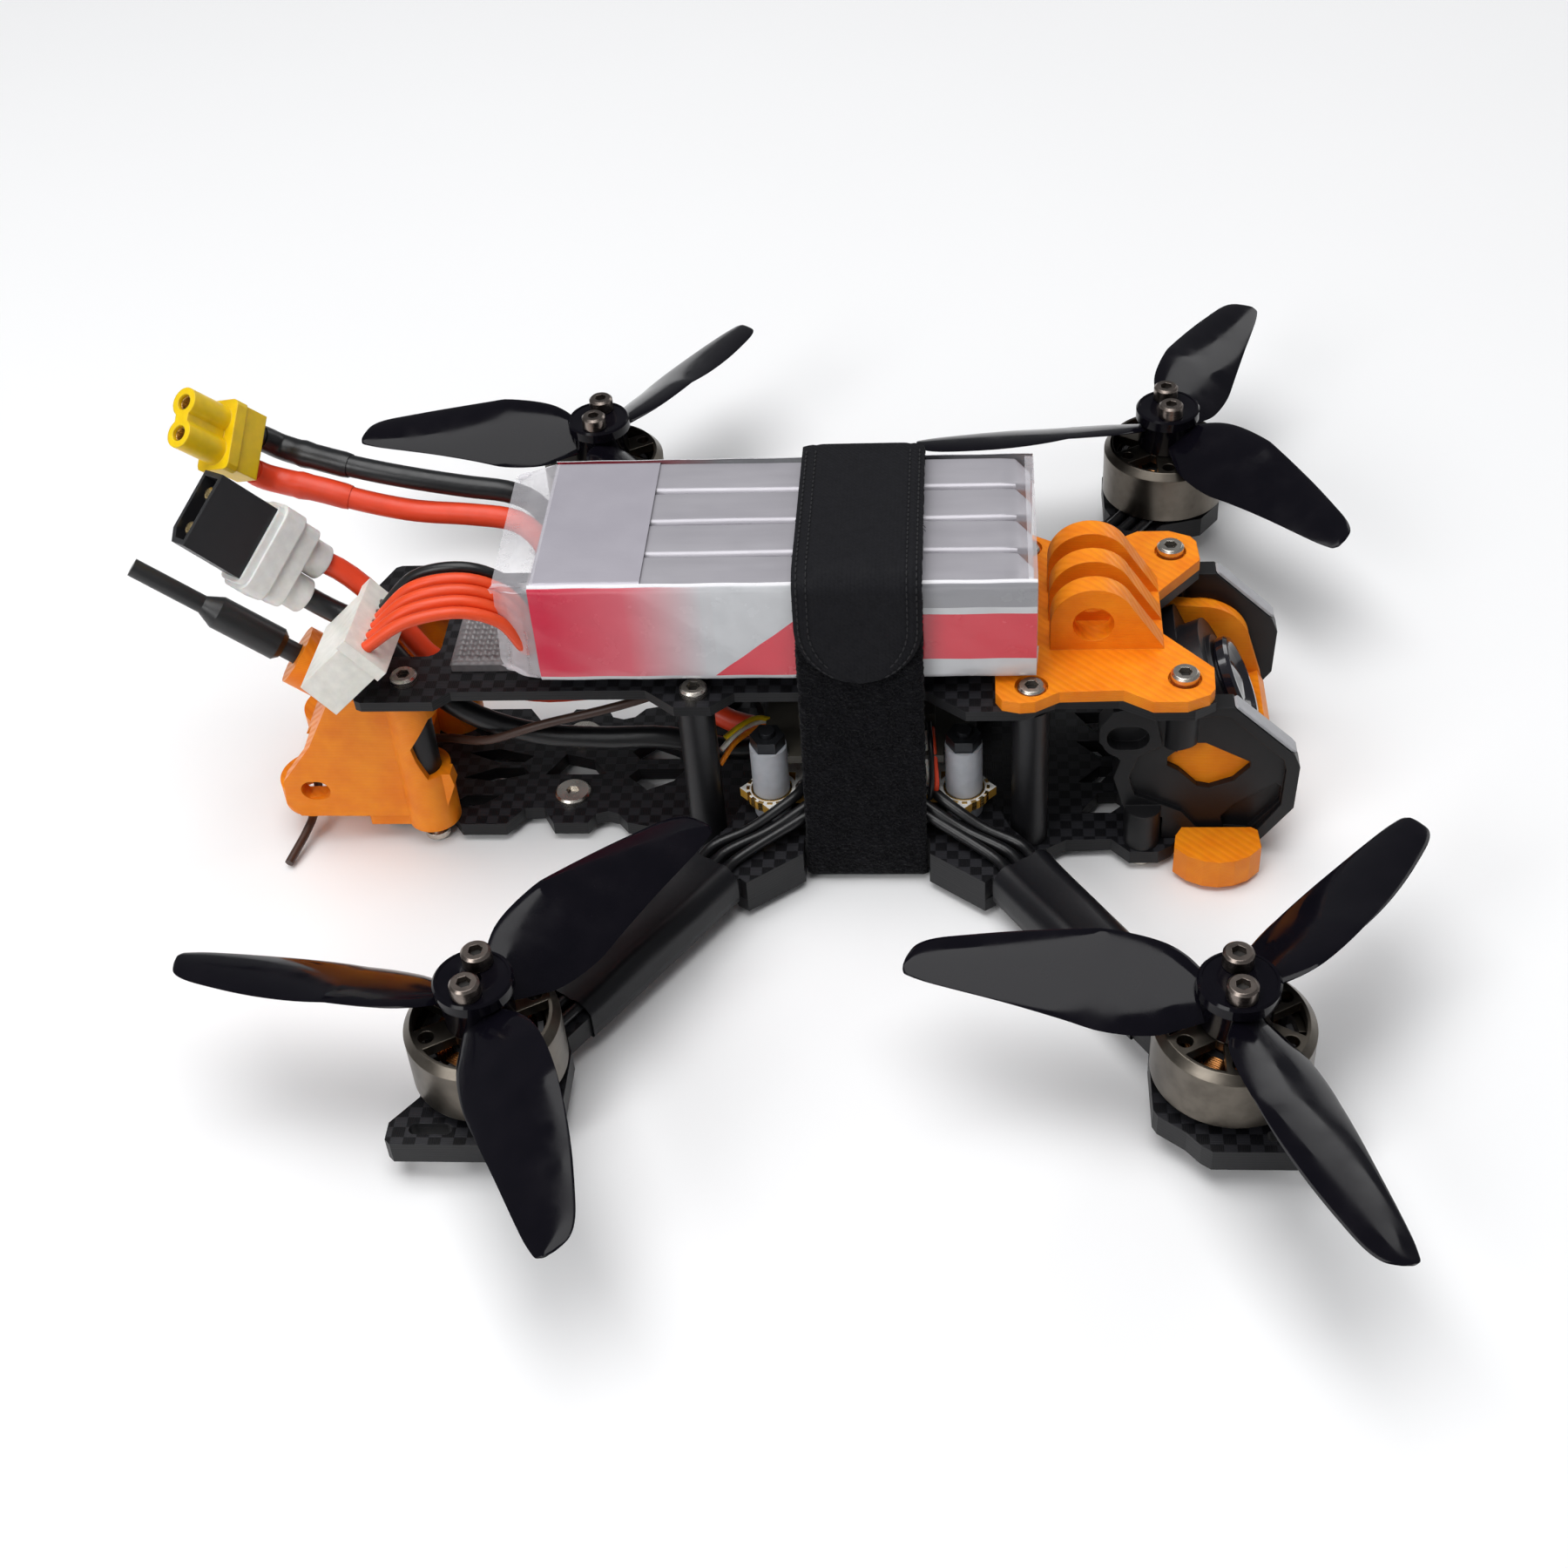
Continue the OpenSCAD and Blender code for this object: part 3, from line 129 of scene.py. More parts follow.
class Shader:
    """A principled material with small helpers for its texture nodes. Sizes are in millimetres."""

    def __init__(self, name, bevel=0.0, **sockets):
        self.material = bpy.data.materials.new(name)
        self.material.use_nodes = True
        self.tree = self.material.node_tree
        self.surface = self.tree.nodes["Principled BSDF"]
        for key, value in sockets.items():
            self.surface.inputs[key.replace("_", " ")].default_value = value
        place = self.add("ShaderNodeTexCoord").outputs["Object"]
        self.place = self.add("ShaderNodeVectorMath", {0: place, "Scale": 1 / MM},
                              operation="SCALE").outputs[0]
        self.normal = None
        if bevel:
            self.tilt(self.add("ShaderNodeBevel", {"Radius": bevel * MM}, samples=4))

    def add(self, kind, inputs=None, **settings):
        """A new node; an input is either linked from an output or set to a value."""
        node = self.tree.nodes.new(kind)
        for key, value in settings.items():
            setattr(node, key, value)
        for key, value in (inputs or {}).items():
            if hasattr(value, "links"):
                self.tree.links.new(value, node.inputs[key])
            else:
                node.inputs[key].default_value = value
        return node

    def tilt(self, node):
        self.normal = node.outputs["Normal"]
        self.tree.links.new(self.normal, self.surface.inputs["Normal"])

    def vector(self, operation, a, b):
        return self.add("ShaderNodeVectorMath", {0: a, 1: b}, operation=operation).outputs[0]

    def math(self, operation, a, b=0.0, clamp=False):
        node = self.add("ShaderNodeMath", {0: a, 1: b}, operation=operation, use_clamp=clamp)
        return node.outputs[0]

    def axis(self, name, source=None):
        return self.add("ShaderNodeSeparateXYZ", {0: source or self.place}).outputs[name]

    def stretched(self, x, y, z):
        return self.vector("MULTIPLY", self.place, (x, y, z))

    def noise(self, size, detail=3.0, roughness=0.5, place=None):
        inputs = {"Vector": place or self.place, "Scale": 1 / size, "Detail": detail,
                  "Roughness": roughness}
        return self.add("ShaderNodeTexNoise", inputs).outputs["Fac"]

    def cells(self, size):
        inputs = {"Vector": self.place, "Scale": 1 / size}
        return self.add("ShaderNodeTexVoronoi", inputs).outputs["Distance"]

    def bands(self, period, direction, distortion=0.0, place=None):
        inputs = {"Vector": place or self.place, "Scale": math.pi / 10 / period,
                  "Distortion": distortion, "Detail": 1}
        return self.add("ShaderNodeTexWave", inputs, bands_direction=direction).outputs["Fac"]

    def ramp(self, value, *stops):
        """Colours or greys at places from 0 to 1."""
        node = self.add("ShaderNodeValToRGB", {0: value})
        points = node.color_ramp.elements
        while len(points) < len(stops):
            points.new(0.5)
        for point, (at, colour) in zip(points, stops):
            point.position = at
            rgb = colour if hasattr(colour, "__len__") else (colour,) * 3
            point.color = (*rgb, 1)
        return node.outputs["Color"]

    def mix(self, share, a, b):
        a, b = (c if hasattr(c, "links") else (*c, 1) for c in (a, b))
        return self.add("ShaderNodeMix", {0: share, 6: a, 7: b}, data_type="RGBA").outputs[2]

    def colour(self, value):
        self.tree.links.new(value, self.surface.inputs["Base Color"])

    def roughness(self, value, low, high):
        node = self.add("ShaderNodeMapRange", {"Value": value, "To Min": low, "To Max": high})
        self.tree.links.new(node.outputs["Result"], self.surface.inputs["Roughness"])

    def bump(self, height, depth, strength):
        inputs = {"Height": height, "Distance": depth * MM, "Strength": strength}
        if self.normal:
            inputs["Normal"] = self.normal
        self.tilt(self.add("ShaderNodeBump", inputs))

    def patches(self, size, detail, a, b):
        """Base colour wandering between a and b."""
        self.colour(self.mix(self.noise(size, detail), a, b))

    def sheen(self, size, detail, low, high):
        """Roughness wandering between low and high."""
        self.roughness(self.noise(size, detail), low, high)

    def grain(self, size, detail, depth, strength):
        self.bump(self.noise(size, detail), depth, strength)

    def upright(self):
        """1 on faces that look up or down, 0 on vertical ones."""
        facing = self.axis("Z", self.add("ShaderNodeNewGeometry").outputs["True Normal"])
        return self.math("GREATER_THAN", self.math("ABSOLUTE", facing), 0.5)


WEAVE = 1.5


def carbon_fibre():
    """Woven squares on the flat faces, pressed layers on the cut edges."""
    m = Shader("carbon", 0.08, Specular_IOR_Level=0.3)
    flat = m.vector("ADD", m.stretched(1, 1, 0), (0, 0, 0.5 * WEAVE))
    square = m.add("ShaderNodeTexChecker", {"Vector": flat, "Scale": 1 / WEAVE}).outputs["Fac"]
    warp = m.bands(0.24, "X")
    weft = m.bands(0.24, "Y")
    thread = m.mix(square, warp, weft)
    weave = m.mix(square, (0.003, 0.003, 0.004), (0.022, 0.022, 0.026))
    weave = m.mix(m.ramp(thread, (0.2, 0.35), (0.9, 0)), weave, (0.003, 0.003, 0.004))
    dust = m.ramp(m.noise(9, 4), (0.35, 0), (0.75, 0.3))
    weave = m.mix(dust, weave, (0.014, 0.014, 0.017))
    grain = m.noise(0.5, 3, place=m.stretched(0.12, 0.12, 3))
    layers = m.mix(m.bands(0.42, "Z", 0.6), (0.004, 0.004, 0.005), (0.013, 0.013, 0.015))
    layers = m.mix(grain, layers, (0.012, 0.012, 0.013))
    top = m.upright()
    m.colour(m.mix(top, layers, weave))
    m.roughness(m.mix(top, (0.75, 0.75, 0.75), thread), 0.3, 0.52)
    m.bump(m.mix(top, grain, thread), 0.03, 0.5)
    return m.material


def orange_print():
    """Printed filament: layer lines on upright walls, slanting infill lines on flat faces."""
    m = Shader("orange", 0.15, Specular_IOR_Level=0.3, **waxy(0.12))
    top = m.upright()
    infill = m.bands(0.5, "DIAGONAL", 0.3, place=m.stretched(0.7, 0.7, 0))
    layers = m.bands(0.22, "Z", 0.25)
    lines = m.mix(top, layers, infill)
    blotch = m.ramp(m.noise(3.5, 3), (0.3, 0), (0.7, 1))
    tint = m.mix(blotch, (0.86, 0.215, 0.004), (0.97, 0.30, 0.008))
    m.colour(m.mix(m.ramp(lines, (0, 0.3), (0.6, 0)), tint, (0.72, 0.155, 0.003)))
    m.roughness(lines, 0.52, 0.34)
    m.bump(lines, 0.05, 0.55)
    m.grain(0.9, 2, 0.08, 0.25)
    return m.material


def metal(name, colour, low, high, bevel=0.1, metallic=1.0):
    m = Shader(name, bevel, Metallic=metallic)
    streak = m.noise(0.5, 4, place=m.stretched(0.3, 0.3, 6))
    patch = m.noise(2.2, 3)
    dark = [c * 0.62 for c in colour]
    m.colour(m.mix(m.ramp(patch, (0.3, 0.7), (0.6, 0)), colour, dark))
    m.roughness(streak, low, high)
    m.bump(streak, 0.012, 0.35)
    return m.material


def cloudy(name, low, high, cloud, worn, grain=None, bevel=0.0, **sockets):
    """Colour wandering from low to high; cloud, worn and grain are the noises' own numbers."""
    m = Shader(name, bevel, **sockets)
    m.patches(*cloud, low, high)
    m.sheen(*worn)
    if grain:
        m.grain(*grain)
    return m.material


def waxy(weight, depth=0.001):
    return {"Subsurface_Weight": weight, "Subsurface_Scale": depth}


def times(colour, share):
    return [min(1, c * share) for c in colour]


def plastic(name, colour, low, high, bevel=0.15, spots=1.4, depth=0.02, **sockets):
    return cloudy(name, times(colour, 0.8), times(colour, 1.15), (spots, 4),
                  (spots * 2.5, 3, low, high), (0.35, 3, depth, 0.4), bevel=bevel, **sockets)


def silicone(name, colour, rough=0.42):
    return cloudy(name, times(colour, 0.86), times(colour, 1.1), (2.4, 3),
                  (1.4, 3, rough - 0.1, rough + 0.12), (0.5, 3, 0.04, 0.35),
                  **waxy(0.05, 0.0005))


def propeller_plastic():
    m = Shader("propeller", Specular_IOR_Level=0.16)
    smear = m.noise(5, 4)
    m.colour(m.mix(smear, (0.002, 0.002, 0.004), (0.006, 0.005, 0.008)))
    m.roughness(m.ramp(smear, (0.35, 0), (0.75, 1)), 0.06, 0.24)
    m.grain(7, 2, 0.06, 0.12)
    return m.material


def foil():
    m = Shader("foil", Metallic=0.35, Coat_Weight=0.3, Coat_Roughness=0.15)
    wave = m.noise(5, 3, place=m.stretched(0.25, 1.4, 1))
    m.colour(m.mix(wave, (0.36, 0.345, 0.38), (0.5, 0.485, 0.52)))
    m.sheen(3, 3, 0.34, 0.52)
    m.bump(wave, 0.25, 0.35)
    m.grain(0.4, 2, 0.02, 0.3)
    return m.material


def tape():
    m = Shader("tape", Metallic=0.2, Coat_Weight=0.3, Coat_Roughness=0.2)
    wave = m.noise(7, 4)
    m.colour(m.mix(wave, (0.38, 0.36, 0.41), (0.47, 0.45, 0.50)))
    m.sheen(4, 3, 0.25, 0.45)
    m.bump(wave, 0.5, 0.3)
    return m.material


def printed_label():
    """Plain colour fields: rose fading at the tail, silver, then slanting red and a stripe."""
    m = Shader("label", Coat_Weight=0.5, Coat_Roughness=0.1)
    x = m.axis("X")
    z = m.axis("Z")

    def past(value, limit):
        return m.math("GREATER_THAN", value, limit)

    rose, red, hem = (0.66, 0.035, 0.075), (0.68, 0.04, 0.065), (0.6, 0.6, 0.62)
    silver = m.mix(m.noise(4, 2), (0.52, 0.53, 0.55), (0.66, 0.67, 0.69))
    fade = m.ramp(m.math("MULTIPLY", m.math("ADD", x, 39), 1 / 22, clamp=True),
                  (0, rose), (0.45, (0.74, 0.16, 0.2)), (0.9, hem))
    base = m.mix(past(x, -18), fade, silver)
    slope = m.math("SUBTRACT", m.math("MULTIPLY", m.math("ADD", x, 18.5), 0.82),
                   m.math("SUBTRACT", z, 30.6))
    nose = past(x, 3)
    wedge = m.math("MULTIPLY", past(slope, 0), m.math("LESS_THAN", x, 3))
    stripe = m.math("MULTIPLY", nose, m.math("MULTIPLY", past(z, 33), m.math("LESS_THAN", z, 40)))
    base = m.mix(stripe, m.mix(wedge, base, red), red)
    base = m.mix(m.math("MULTIPLY", nose, past(z, 41)), base, (0.3, 0.3, 0.32))
    base = m.mix(m.math("LESS_THAN", z, 30.7), base, hem)
    m.colour(m.mix(past(z, 44.5), base, (0.68, 0.67, 0.70)))
    m.sheen(3, 3, 0.16, 0.34)
    m.bump(m.noise(6, 3, place=m.stretched(0.5, 1, 1.6)), 0.35, 0.3)
    return m.material


def clear_film():
    m = Shader("film", Alpha=0.34, IOR=1.45, Coat_Weight=1.0, Coat_Roughness=0.03)
    m.patches(2.5, 3, (0.75, 0.72, 0.78), (0.95, 0.94, 0.97))
    m.sheen(2, 3, 0.06, 0.2)
    m.bump(m.noise(2.2, 3, place=m.stretched(0.6, 1, 1)), 0.5, 0.6)
    return m.material


def webbing():
    m = Shader("webbing", Roughness=0.95, Sheen_Weight=0.06, Sheen_Roughness=0.4,
               Specular_IOR_Level=0.15)
    loops = m.cells(0.55)
    fuzz = m.noise(0.28, 4, 0.7)
    m.colour(m.mix(m.ramp(fuzz, (0.4, 0), (0.85, 1)), (0.002, 0.002, 0.003), (0.012, 0.012, 0.016)))
    m.bump(loops, 0.35, 0.8)
    m.bump(fuzz, 0.25, 0.9)
    return m.material


def smooth_tape():
    m = Shader("tab_tape", Specular_IOR_Level=0.2)
    rib = m.bands(0.5, "X", 0.4)
    cross = m.bands(0.35, "DIAGONAL", 1.0)
    weave = m.mix(0.5, rib, cross)
    m.patches(0.35, 3, (0.003, 0.003, 0.004), (0.009, 0.009, 0.012))
    m.sheen(1.5, 3, 0.65, 0.9)
    m.bump(weave, 0.1, 0.5)
    m.grain(0.3, 3, 0.12, 0.6)
    return m.material


def thread():
    m = Shader("stitch", Roughness=0.7)
    m.patches(0.3, 2, (0.004, 0.004, 0.005), (0.014, 0.014, 0.017))
    m.bump(m.bands(0.18, "DIAGONAL"), 0.05, 0.7)
    return m.material


def circuit_white():
    m = Shader("board_face", 0.05)
    amber = m.mix(m.noise(0.6, 2), (0.42, 0.2, 0.02), (0.62, 0.36, 0.06))
    face = m.mix(m.ramp(m.noise(1.1, 4), (0.55, 0), (0.62, 1)), (0.83, 0.82, 0.79),
                 (0.6, 0.59, 0.56))
    m.colour(m.mix(m.upright(), amber, face))
    m.sheen(1, 2, 0.25, 0.45)
    m.grain(0.5, 2, 0.03, 0.4)
    return m.material


def floor_paper():
    m = Shader("floor", Roughness=0.85)
    m.patches(60, 2, (0.925, 0.925, 0.93), (0.94, 0.94, 0.945))
    m.grain(0.6, 3, 0.02, 0.15)
    return m.material


PAINT = {
    "carbon": carbon_fibre(),
    "black_aluminium": metal("anodised", (0.012, 0.012, 0.014), 0.28, 0.5, metallic=0.3),
    "steel": metal("steel", (0.72, 0.67, 0.60), 0.18, 0.34, bevel=0.12),
    "pad_rubber": cloudy("grip", (0.11, 0.105, 0.11), (0.24, 0.225, 0.23), (1.2, 3),
                         (1.4, 2, 0.28, 0.5), (0.5, 3, 0.08, 0.5), Coat_Weight=0.4,
                         Coat_Roughness=0.2),
    "cell_foil": foil(),
    "tape": tape(),
    "wrap_film": printed_label(),
    "film": clear_film(),
    "strap_webbing": webbing(),
    "strap_tab": smooth_tape(),
    "stitch": thread(),
    "orange_print": orange_print(),
    "brass": metal("brass", (0.8, 0.6, 0.28), 0.2, 0.35, bevel=0.05),
    "cage_plastic": plastic("cage", (0.006, 0.006, 0.007), 0.35, 0.55, bevel=0.2,
                            Specular_IOR_Level=0.35),
    "cage_edge": plastic("cage_strip", (0.42, 0.42, 0.44), 0.35, 0.5, bevel=0.1),
    "camera_plastic": plastic("camera_case", (0.007, 0.007, 0.009), 0.3, 0.45,
                              Specular_IOR_Level=0.4),
    "lens_glass": cloudy("lens", (0.006, 0.006, 0.008), (0.014, 0.012, 0.02), (2, 2),
                         (1, 2, 0.08, 0.22), Coat_Weight=0.6, Coat_Roughness=0.02),
    "board_white": circuit_white(),
    "chip_plastic": plastic("chips", (0.018, 0.018, 0.02), 0.35, 0.6, bevel=0.06),
    "grommet_rubber": plastic("grommet", (0.40, 0.41, 0.44), 0.45, 0.6, bevel=0.2,
                              **waxy(0.1, 0.0006)),
    "black_steel": metal("blackened", (0.03, 0.032, 0.036), 0.25, 0.4, metallic=0.7),
    "transmitter": plastic("transmitter", (0.05, 0.045, 0.035), 0.3, 0.5, bevel=0.06),
    "receiver": plastic("receiver", (0.03, 0.03, 0.035), 0.2, 0.4, bevel=0.1),
    "antenna_rubber": silicone("antenna", (0.012, 0.012, 0.013), 0.4),
    "coax_jacket": silicone("coax", (0.01, 0.01, 0.011), 0.4),
    "aerial_jacket": silicone("aerial", (0.05, 0.022, 0.014), 0.45),
    "red_silicone": silicone("red_lead", (0.78, 0.055, 0.012)),
    "black_silicone": silicone("black_lead", (0.006, 0.006, 0.007), 0.34),
    "plug_black": plastic("plug_shell", (0.010, 0.010, 0.012), 0.3, 0.45, bevel=0.2),
    "boot_white": plastic("boot", (0.74, 0.74, 0.72), 0.3, 0.5, bevel=0.3,
                          **waxy(0.3)),
    "socket_yellow": plastic("socket", (0.86, 0.58, 0.004), 0.28, 0.42, bevel=0.25,
                             **waxy(0.15)),
    "balance_wires": silicone("balance_red", (0.80, 0.07, 0.012)),
    "plug_white": plastic("plug_white", (0.80, 0.78, 0.72), 0.35, 0.5, bevel=0.2,
                          **waxy(0.2)),
    "sleeve_film": plastic("sleeve", (0.006, 0.006, 0.008), 0.35, 0.5, bevel=0,
                           spots=4, depth=0.03, Specular_IOR_Level=0.3),
    "motor_base_metal": metal("motor_base", (0.02, 0.02, 0.022), 0.3, 0.5, metallic=0.7),
    "stator_steel": metal("stator", (0.08, 0.08, 0.085), 0.4, 0.6, metallic=0.5),
    "copper": cloudy("copper", (0.45, 0.16, 0.04), (0.8, 0.38, 0.13), (0.8, 2),
                     (0.5, 2, 0.2, 0.38), Metallic=1.0, Coat_Weight=0.5, Coat_Roughness=0.1),
    "bell_metal": metal("bell", (0.15, 0.132, 0.11), 0.26, 0.42, bevel=0.18),
    "prop_plastic": propeller_plastic(),
    "dark_nickel": metal("dark_nickel", (0.26, 0.22, 0.195), 0.22, 0.36, bevel=0.12),
    # Near-black paint for the floors of the screws' hexagonal sockets: painted shade in the
    # recesses
    "well": plastic("painted_socket_shade", (0.012, 0.011, 0.01), 0.4, 0.6, bevel=0),
    "gold": metal("gold", (0.85, 0.55, 0.18), 0.2, 0.35, bevel=0.05),
    "solder": metal("solder", (0.72, 0.72, 0.74), 0.12, 0.3, bevel=0),
}


def paint_cad():
    slots = {s["node"]: s["material_slot"] for s in frame["record"]["subparts"]}
    for name, obj in NODES.items():
        obj.data.materials.clear()
        dark = name.startswith("prop_screws")
        obj.data.materials.append(PAINT["dark_nickel" if dark else slots[name]])


# ---- mesh helpers ----

class Piece:
    """Collects vertices and faces in millimetres, then becomes one object."""

    def __init__(self):
        self.points = []
        self.faces = []
        self.marks = []

    def add(self, points, faces, mark=0):
        base = len(self.points)
        self.points += [tuple(p) for p in points]
        self.faces += [tuple(i + base for i in f) for f in faces]
        self.marks += [mark] * len(faces)

    def loft(self, rings, closed=True, caps=True, mark=0):
        n = len(rings[0])
        points = [p for ring in rings for p in ring]
        faces = []
        last = n if closed else n - 1
        for i in range(len(rings) - 1):
            for k in range(last):
                a, b = i * n + k, i * n + (k + 1) % n
                faces.append((a, b, b + n, a + n))
        if caps and closed:
            end = (len(rings) - 1) * n
            faces.append(tuple(reversed(range(n))))
            faces.append(tuple(range(end, end + n)))
        self.add(points, faces, mark)

    def lathe(self, profile, place, sides):
        rings = []
        for r, z in profile:
            ring = [place @ Vector((r * math.cos(2 * math.pi * k / sides),
                                    r * math.sin(2 * math.pi * k / sides), z))
                    for k in range(sides)]
            rings.append(ring)
        self.loft(rings)

    def tube(self, path, radius, sides=12, mark=0):
        self.loft(tube_rings(path, radius, sides), mark=mark)

    def box(self, low, high, place=Matrix.Identity(4)):
        (x0, y0, z0), (x1, y1, z1) = low, high
        ring = [(x0, y0), (x1, y0), (x1, y1), (x0, y1)]
        self.loft([[place @ Vector((x, y, z)) for x, y in ring] for z in (z0, z1)])

    def make(self, name, paints, slot=None, node=None, body=BODY, smooth=True, sharp=38):
        """One object; slot is not used, node the CAD node it replaces."""
        mesh = bpy.data.meshes.new(name)
        mesh.from_pydata([[c * MM for c in p] for p in self.points], [], self.faces)
        mesh.validate()
        for paint in ([paints] if isinstance(paints, str) else paints):
            mesh.materials.append(PAINT[paint])
        mesh.polygons.foreach_set("material_index", self.marks)
        obj = bpy.data.objects.new(name, mesh)
        scene.collection.objects.link(obj)
        if smooth:
            mesh.shade_smooth()
            mesh.set_sharp_from_angle(angle=math.radians(sharp))
        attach(obj, body)
        if node:
            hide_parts(node)
        return obj


def tube_rings(path, radius, sides):
    """Round sections along a path; radius is one number or one for each point."""
    path = [Vector(p) for p in path]
    rings = []
    normal = None
    for i, p in enumerate(path):
        ahead = (path[min(i + 1, len(path) - 1)] - path[max(i - 1, 0)]).normalized()
        if normal is None:
            side = Vector((0, 0, 1)) if abs(ahead.z) < 0.9 else Vector((1, 0, 0))
            normal = ahead.cross(side).normalized()
        normal = (normal - ahead * normal.dot(ahead)).normalized()
        binormal = ahead.cross(normal)
        r = radius[i] if hasattr(radius, "__len__") else radius
        rings.append([p + r * (math.cos(2 * math.pi * k / sides) * normal
                               + math.sin(2 * math.pi * k / sides) * binormal)
                      for k in range(sides)])
    return rings


def shared_out(points, steps):
    """steps + 1 points, evenly spaced along a polyline."""
    lengths = [0]
    for a, b in zip(points, points[1:]):
        lengths.append(lengths[-1] + (b - a).length)
    out = []
    j = 0
    for k in range(steps + 1):
        want = lengths[-1] * k / steps
        while j < len(points) - 2 and lengths[j + 1] < want:
            j += 1
        share = (want - lengths[j]) / max(1e-9, lengths[j + 1] - lengths[j])
        out.append(points[j].lerp(points[j + 1], min(1, share)))
    return out


def smooth_path(points, steps):
    """Evenly spaced points on a smooth curve through the given ones."""
    p = [Vector(q) for q in points]
    p = [2 * p[0] - p[1]] + p + [2 * p[-1] - p[-2]]
    dense = []
    for i in range(1, len(p) - 2):
        for k in range(12):
            t = k / 12
            dense.append(0.5 * (2 * p[i] + (p[i + 1] - p[i - 1]) * t
                                + (2 * p[i - 1] - 5 * p[i] + 4 * p[i + 1] - p[i + 2]) * t * t
                                + (3 * p[i] - p[i - 1] - 3 * p[i + 1] + p[i + 2]) * t ** 3))
    return shared_out(dense + [p[-2]], steps)


def run_length(path):
    return sum((b - a).length for a, b in zip(path, path[1:]))


def rounded(half_w, z0, z1, corner):
    """A rectangle's rim with round corners, as y and z pairs."""
    rim = []
    for q in range(4):
        sy = 1 if q in (0, 3) else -1
        sz = 1 if q < 2 else -1
        for k in range(CORNER_SIDES):
            a = math.radians(90 * q + 90 * k / (CORNER_SIDES - 1))
            rim.append((sy * (half_w - corner) + corner * math.cos(a),
                        (z0 + z1) / 2 + sz * ((z1 - z0) / 2 - corner) + corner * math.sin(a)))
    return rim


# ---- cords ----

POWER_RED = [(-15, -1.8, 11.4), (-19, -1, 12), (-27, 1.8, 14.6), (-36, 2.6, 14.9),
             (-45, 1, 15.8), (-53, -0.6, 19.2), (-58.6, -0.6, 23.2), (-61.4, 0, 27),
             (-64.4, 0.9, 31.4), (-68.6, 1.9, 35.6), (-72.6, 1.5, 38.9)]
POWER_BLACK = [(-15, -6, 11.4), (-19, -6.6, 11.8), (-27, -7.2, 14.4), (-36, -7.4, 14.6),
               (-45, -7.2, 15.4), (-53, -6.5, 18.2), (-59.4, -4.9, 22.4), (-63.2, -3.4, 26.6),
               (-66.4, -2.3, 30), (-71.2, -1.5, 32.6), (-74.8, -2.1, 36.2)]
BATTERY_RED = [(-42.4, 7.6, 33.4), (-43.4, 8, 36.4), (-46.4, 8.5, 39), (-52, 8.9, 39.8),
               (-59.6, 9.4, 40.2), (-66, 9.6, 41.6), (-72, 10.2, 43.2), (-77.6, 11.3, 44),
               (-80, 10.5, 45.6), (-81.86, 8.52, 49.04)]
BATTERY_BLACK = [(-42.4, 10.8, 36.4), (-43.6, 11, 39.6), (-47, 11, 41.8), (-53, 11, 42.9),
                 (-60, 11.2, 44.2), (-67, 12, 45.4), (-73.6, 13.8, 46.2), (-77.8, 15, 46.9),
                 (-79.6, 14.2, 48.7), (-81.44, 11.88, 51.56)]
AERIAL = [(-14.2, -4, 24.2), (-19, -5.4, 24.1), (-31, -9.6, 22.4), (-43, -9.8, 19),
          (-51, -9.2, 15.8), (-58, -5.6, 13.2), (-64, -5.6, 12), (-73, -7.2, 10.8),
          (-76.2, -7.4, 8), (-76.6, -7.6, 4.8), (-77.6, -11, 2.2), (-79.4, -17.4, 0.9)]
LEAD_D = 3.0
BALANCE_D = 1.6
AERIAL_D = 1.2


def balance_route(k):
    """Balance lead k, from -2 at the pack's right to 2: out of the film, over and down."""
    return [(-42.2, -3.8 + 1.7 * k, 31.2 + 0.3 * k), (-42.6, -9 + 1.7 * k, 34.6 + 0.3 * k),
            (-45, -9.8 + 1.7 * k, 39.4 + 0.3 * k), (-50, -10.6 + 1.8 * k, 42 + 0.4 * k),
            (-56.6, -11.4 + 2.2 * k, 41.2 + 0.2 * k), (-61.9, -11.9 + 2.5 * k, 36.9 - 0.4 * k)]


def make_cord(name, route, diameter, paint, node):
    path = smooth_path(route, 34)
    data = bpy.data.curves.new(name, "CURVE")
    data.dimensions = "3D"
    data.bevel_depth = diameter / 2 * MM
    data.bevel_resolution = 5
    data.use_fill_caps = True
    spline = data.splines.new("POLY")
    spline.points.add(len(path) - 1)
    for point, place in zip(spline.points, path):
        point.co = (*(place * MM), 1)
    spline.use_smooth = True
    data.materials.append(PAINT[paint])
    obj = bpy.data.objects.new(name, data)
    scene.collection.objects.link(obj)
    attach(obj, BODY)
    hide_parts(node)


def make_lead_sleeves():
    """Shrink sleeves over the solder joints beside the battery's socket."""
    made = []
    for name, route, paint in (("red", BATTERY_RED, "red_silicone"),
                               ("black", BATTERY_BLACK, "black_silicone")):
        path = smooth_path(route, 60)[38:57]
        radius = [1.62] + [1.72] * 7 + [1.8, 1.86] + [1.74] * 8 + [1.66]
        piece = Piece()
        piece.tube(path, radius, 20)
        made.append(piece.make("lead_sleeve_" + name, paint))
    return made


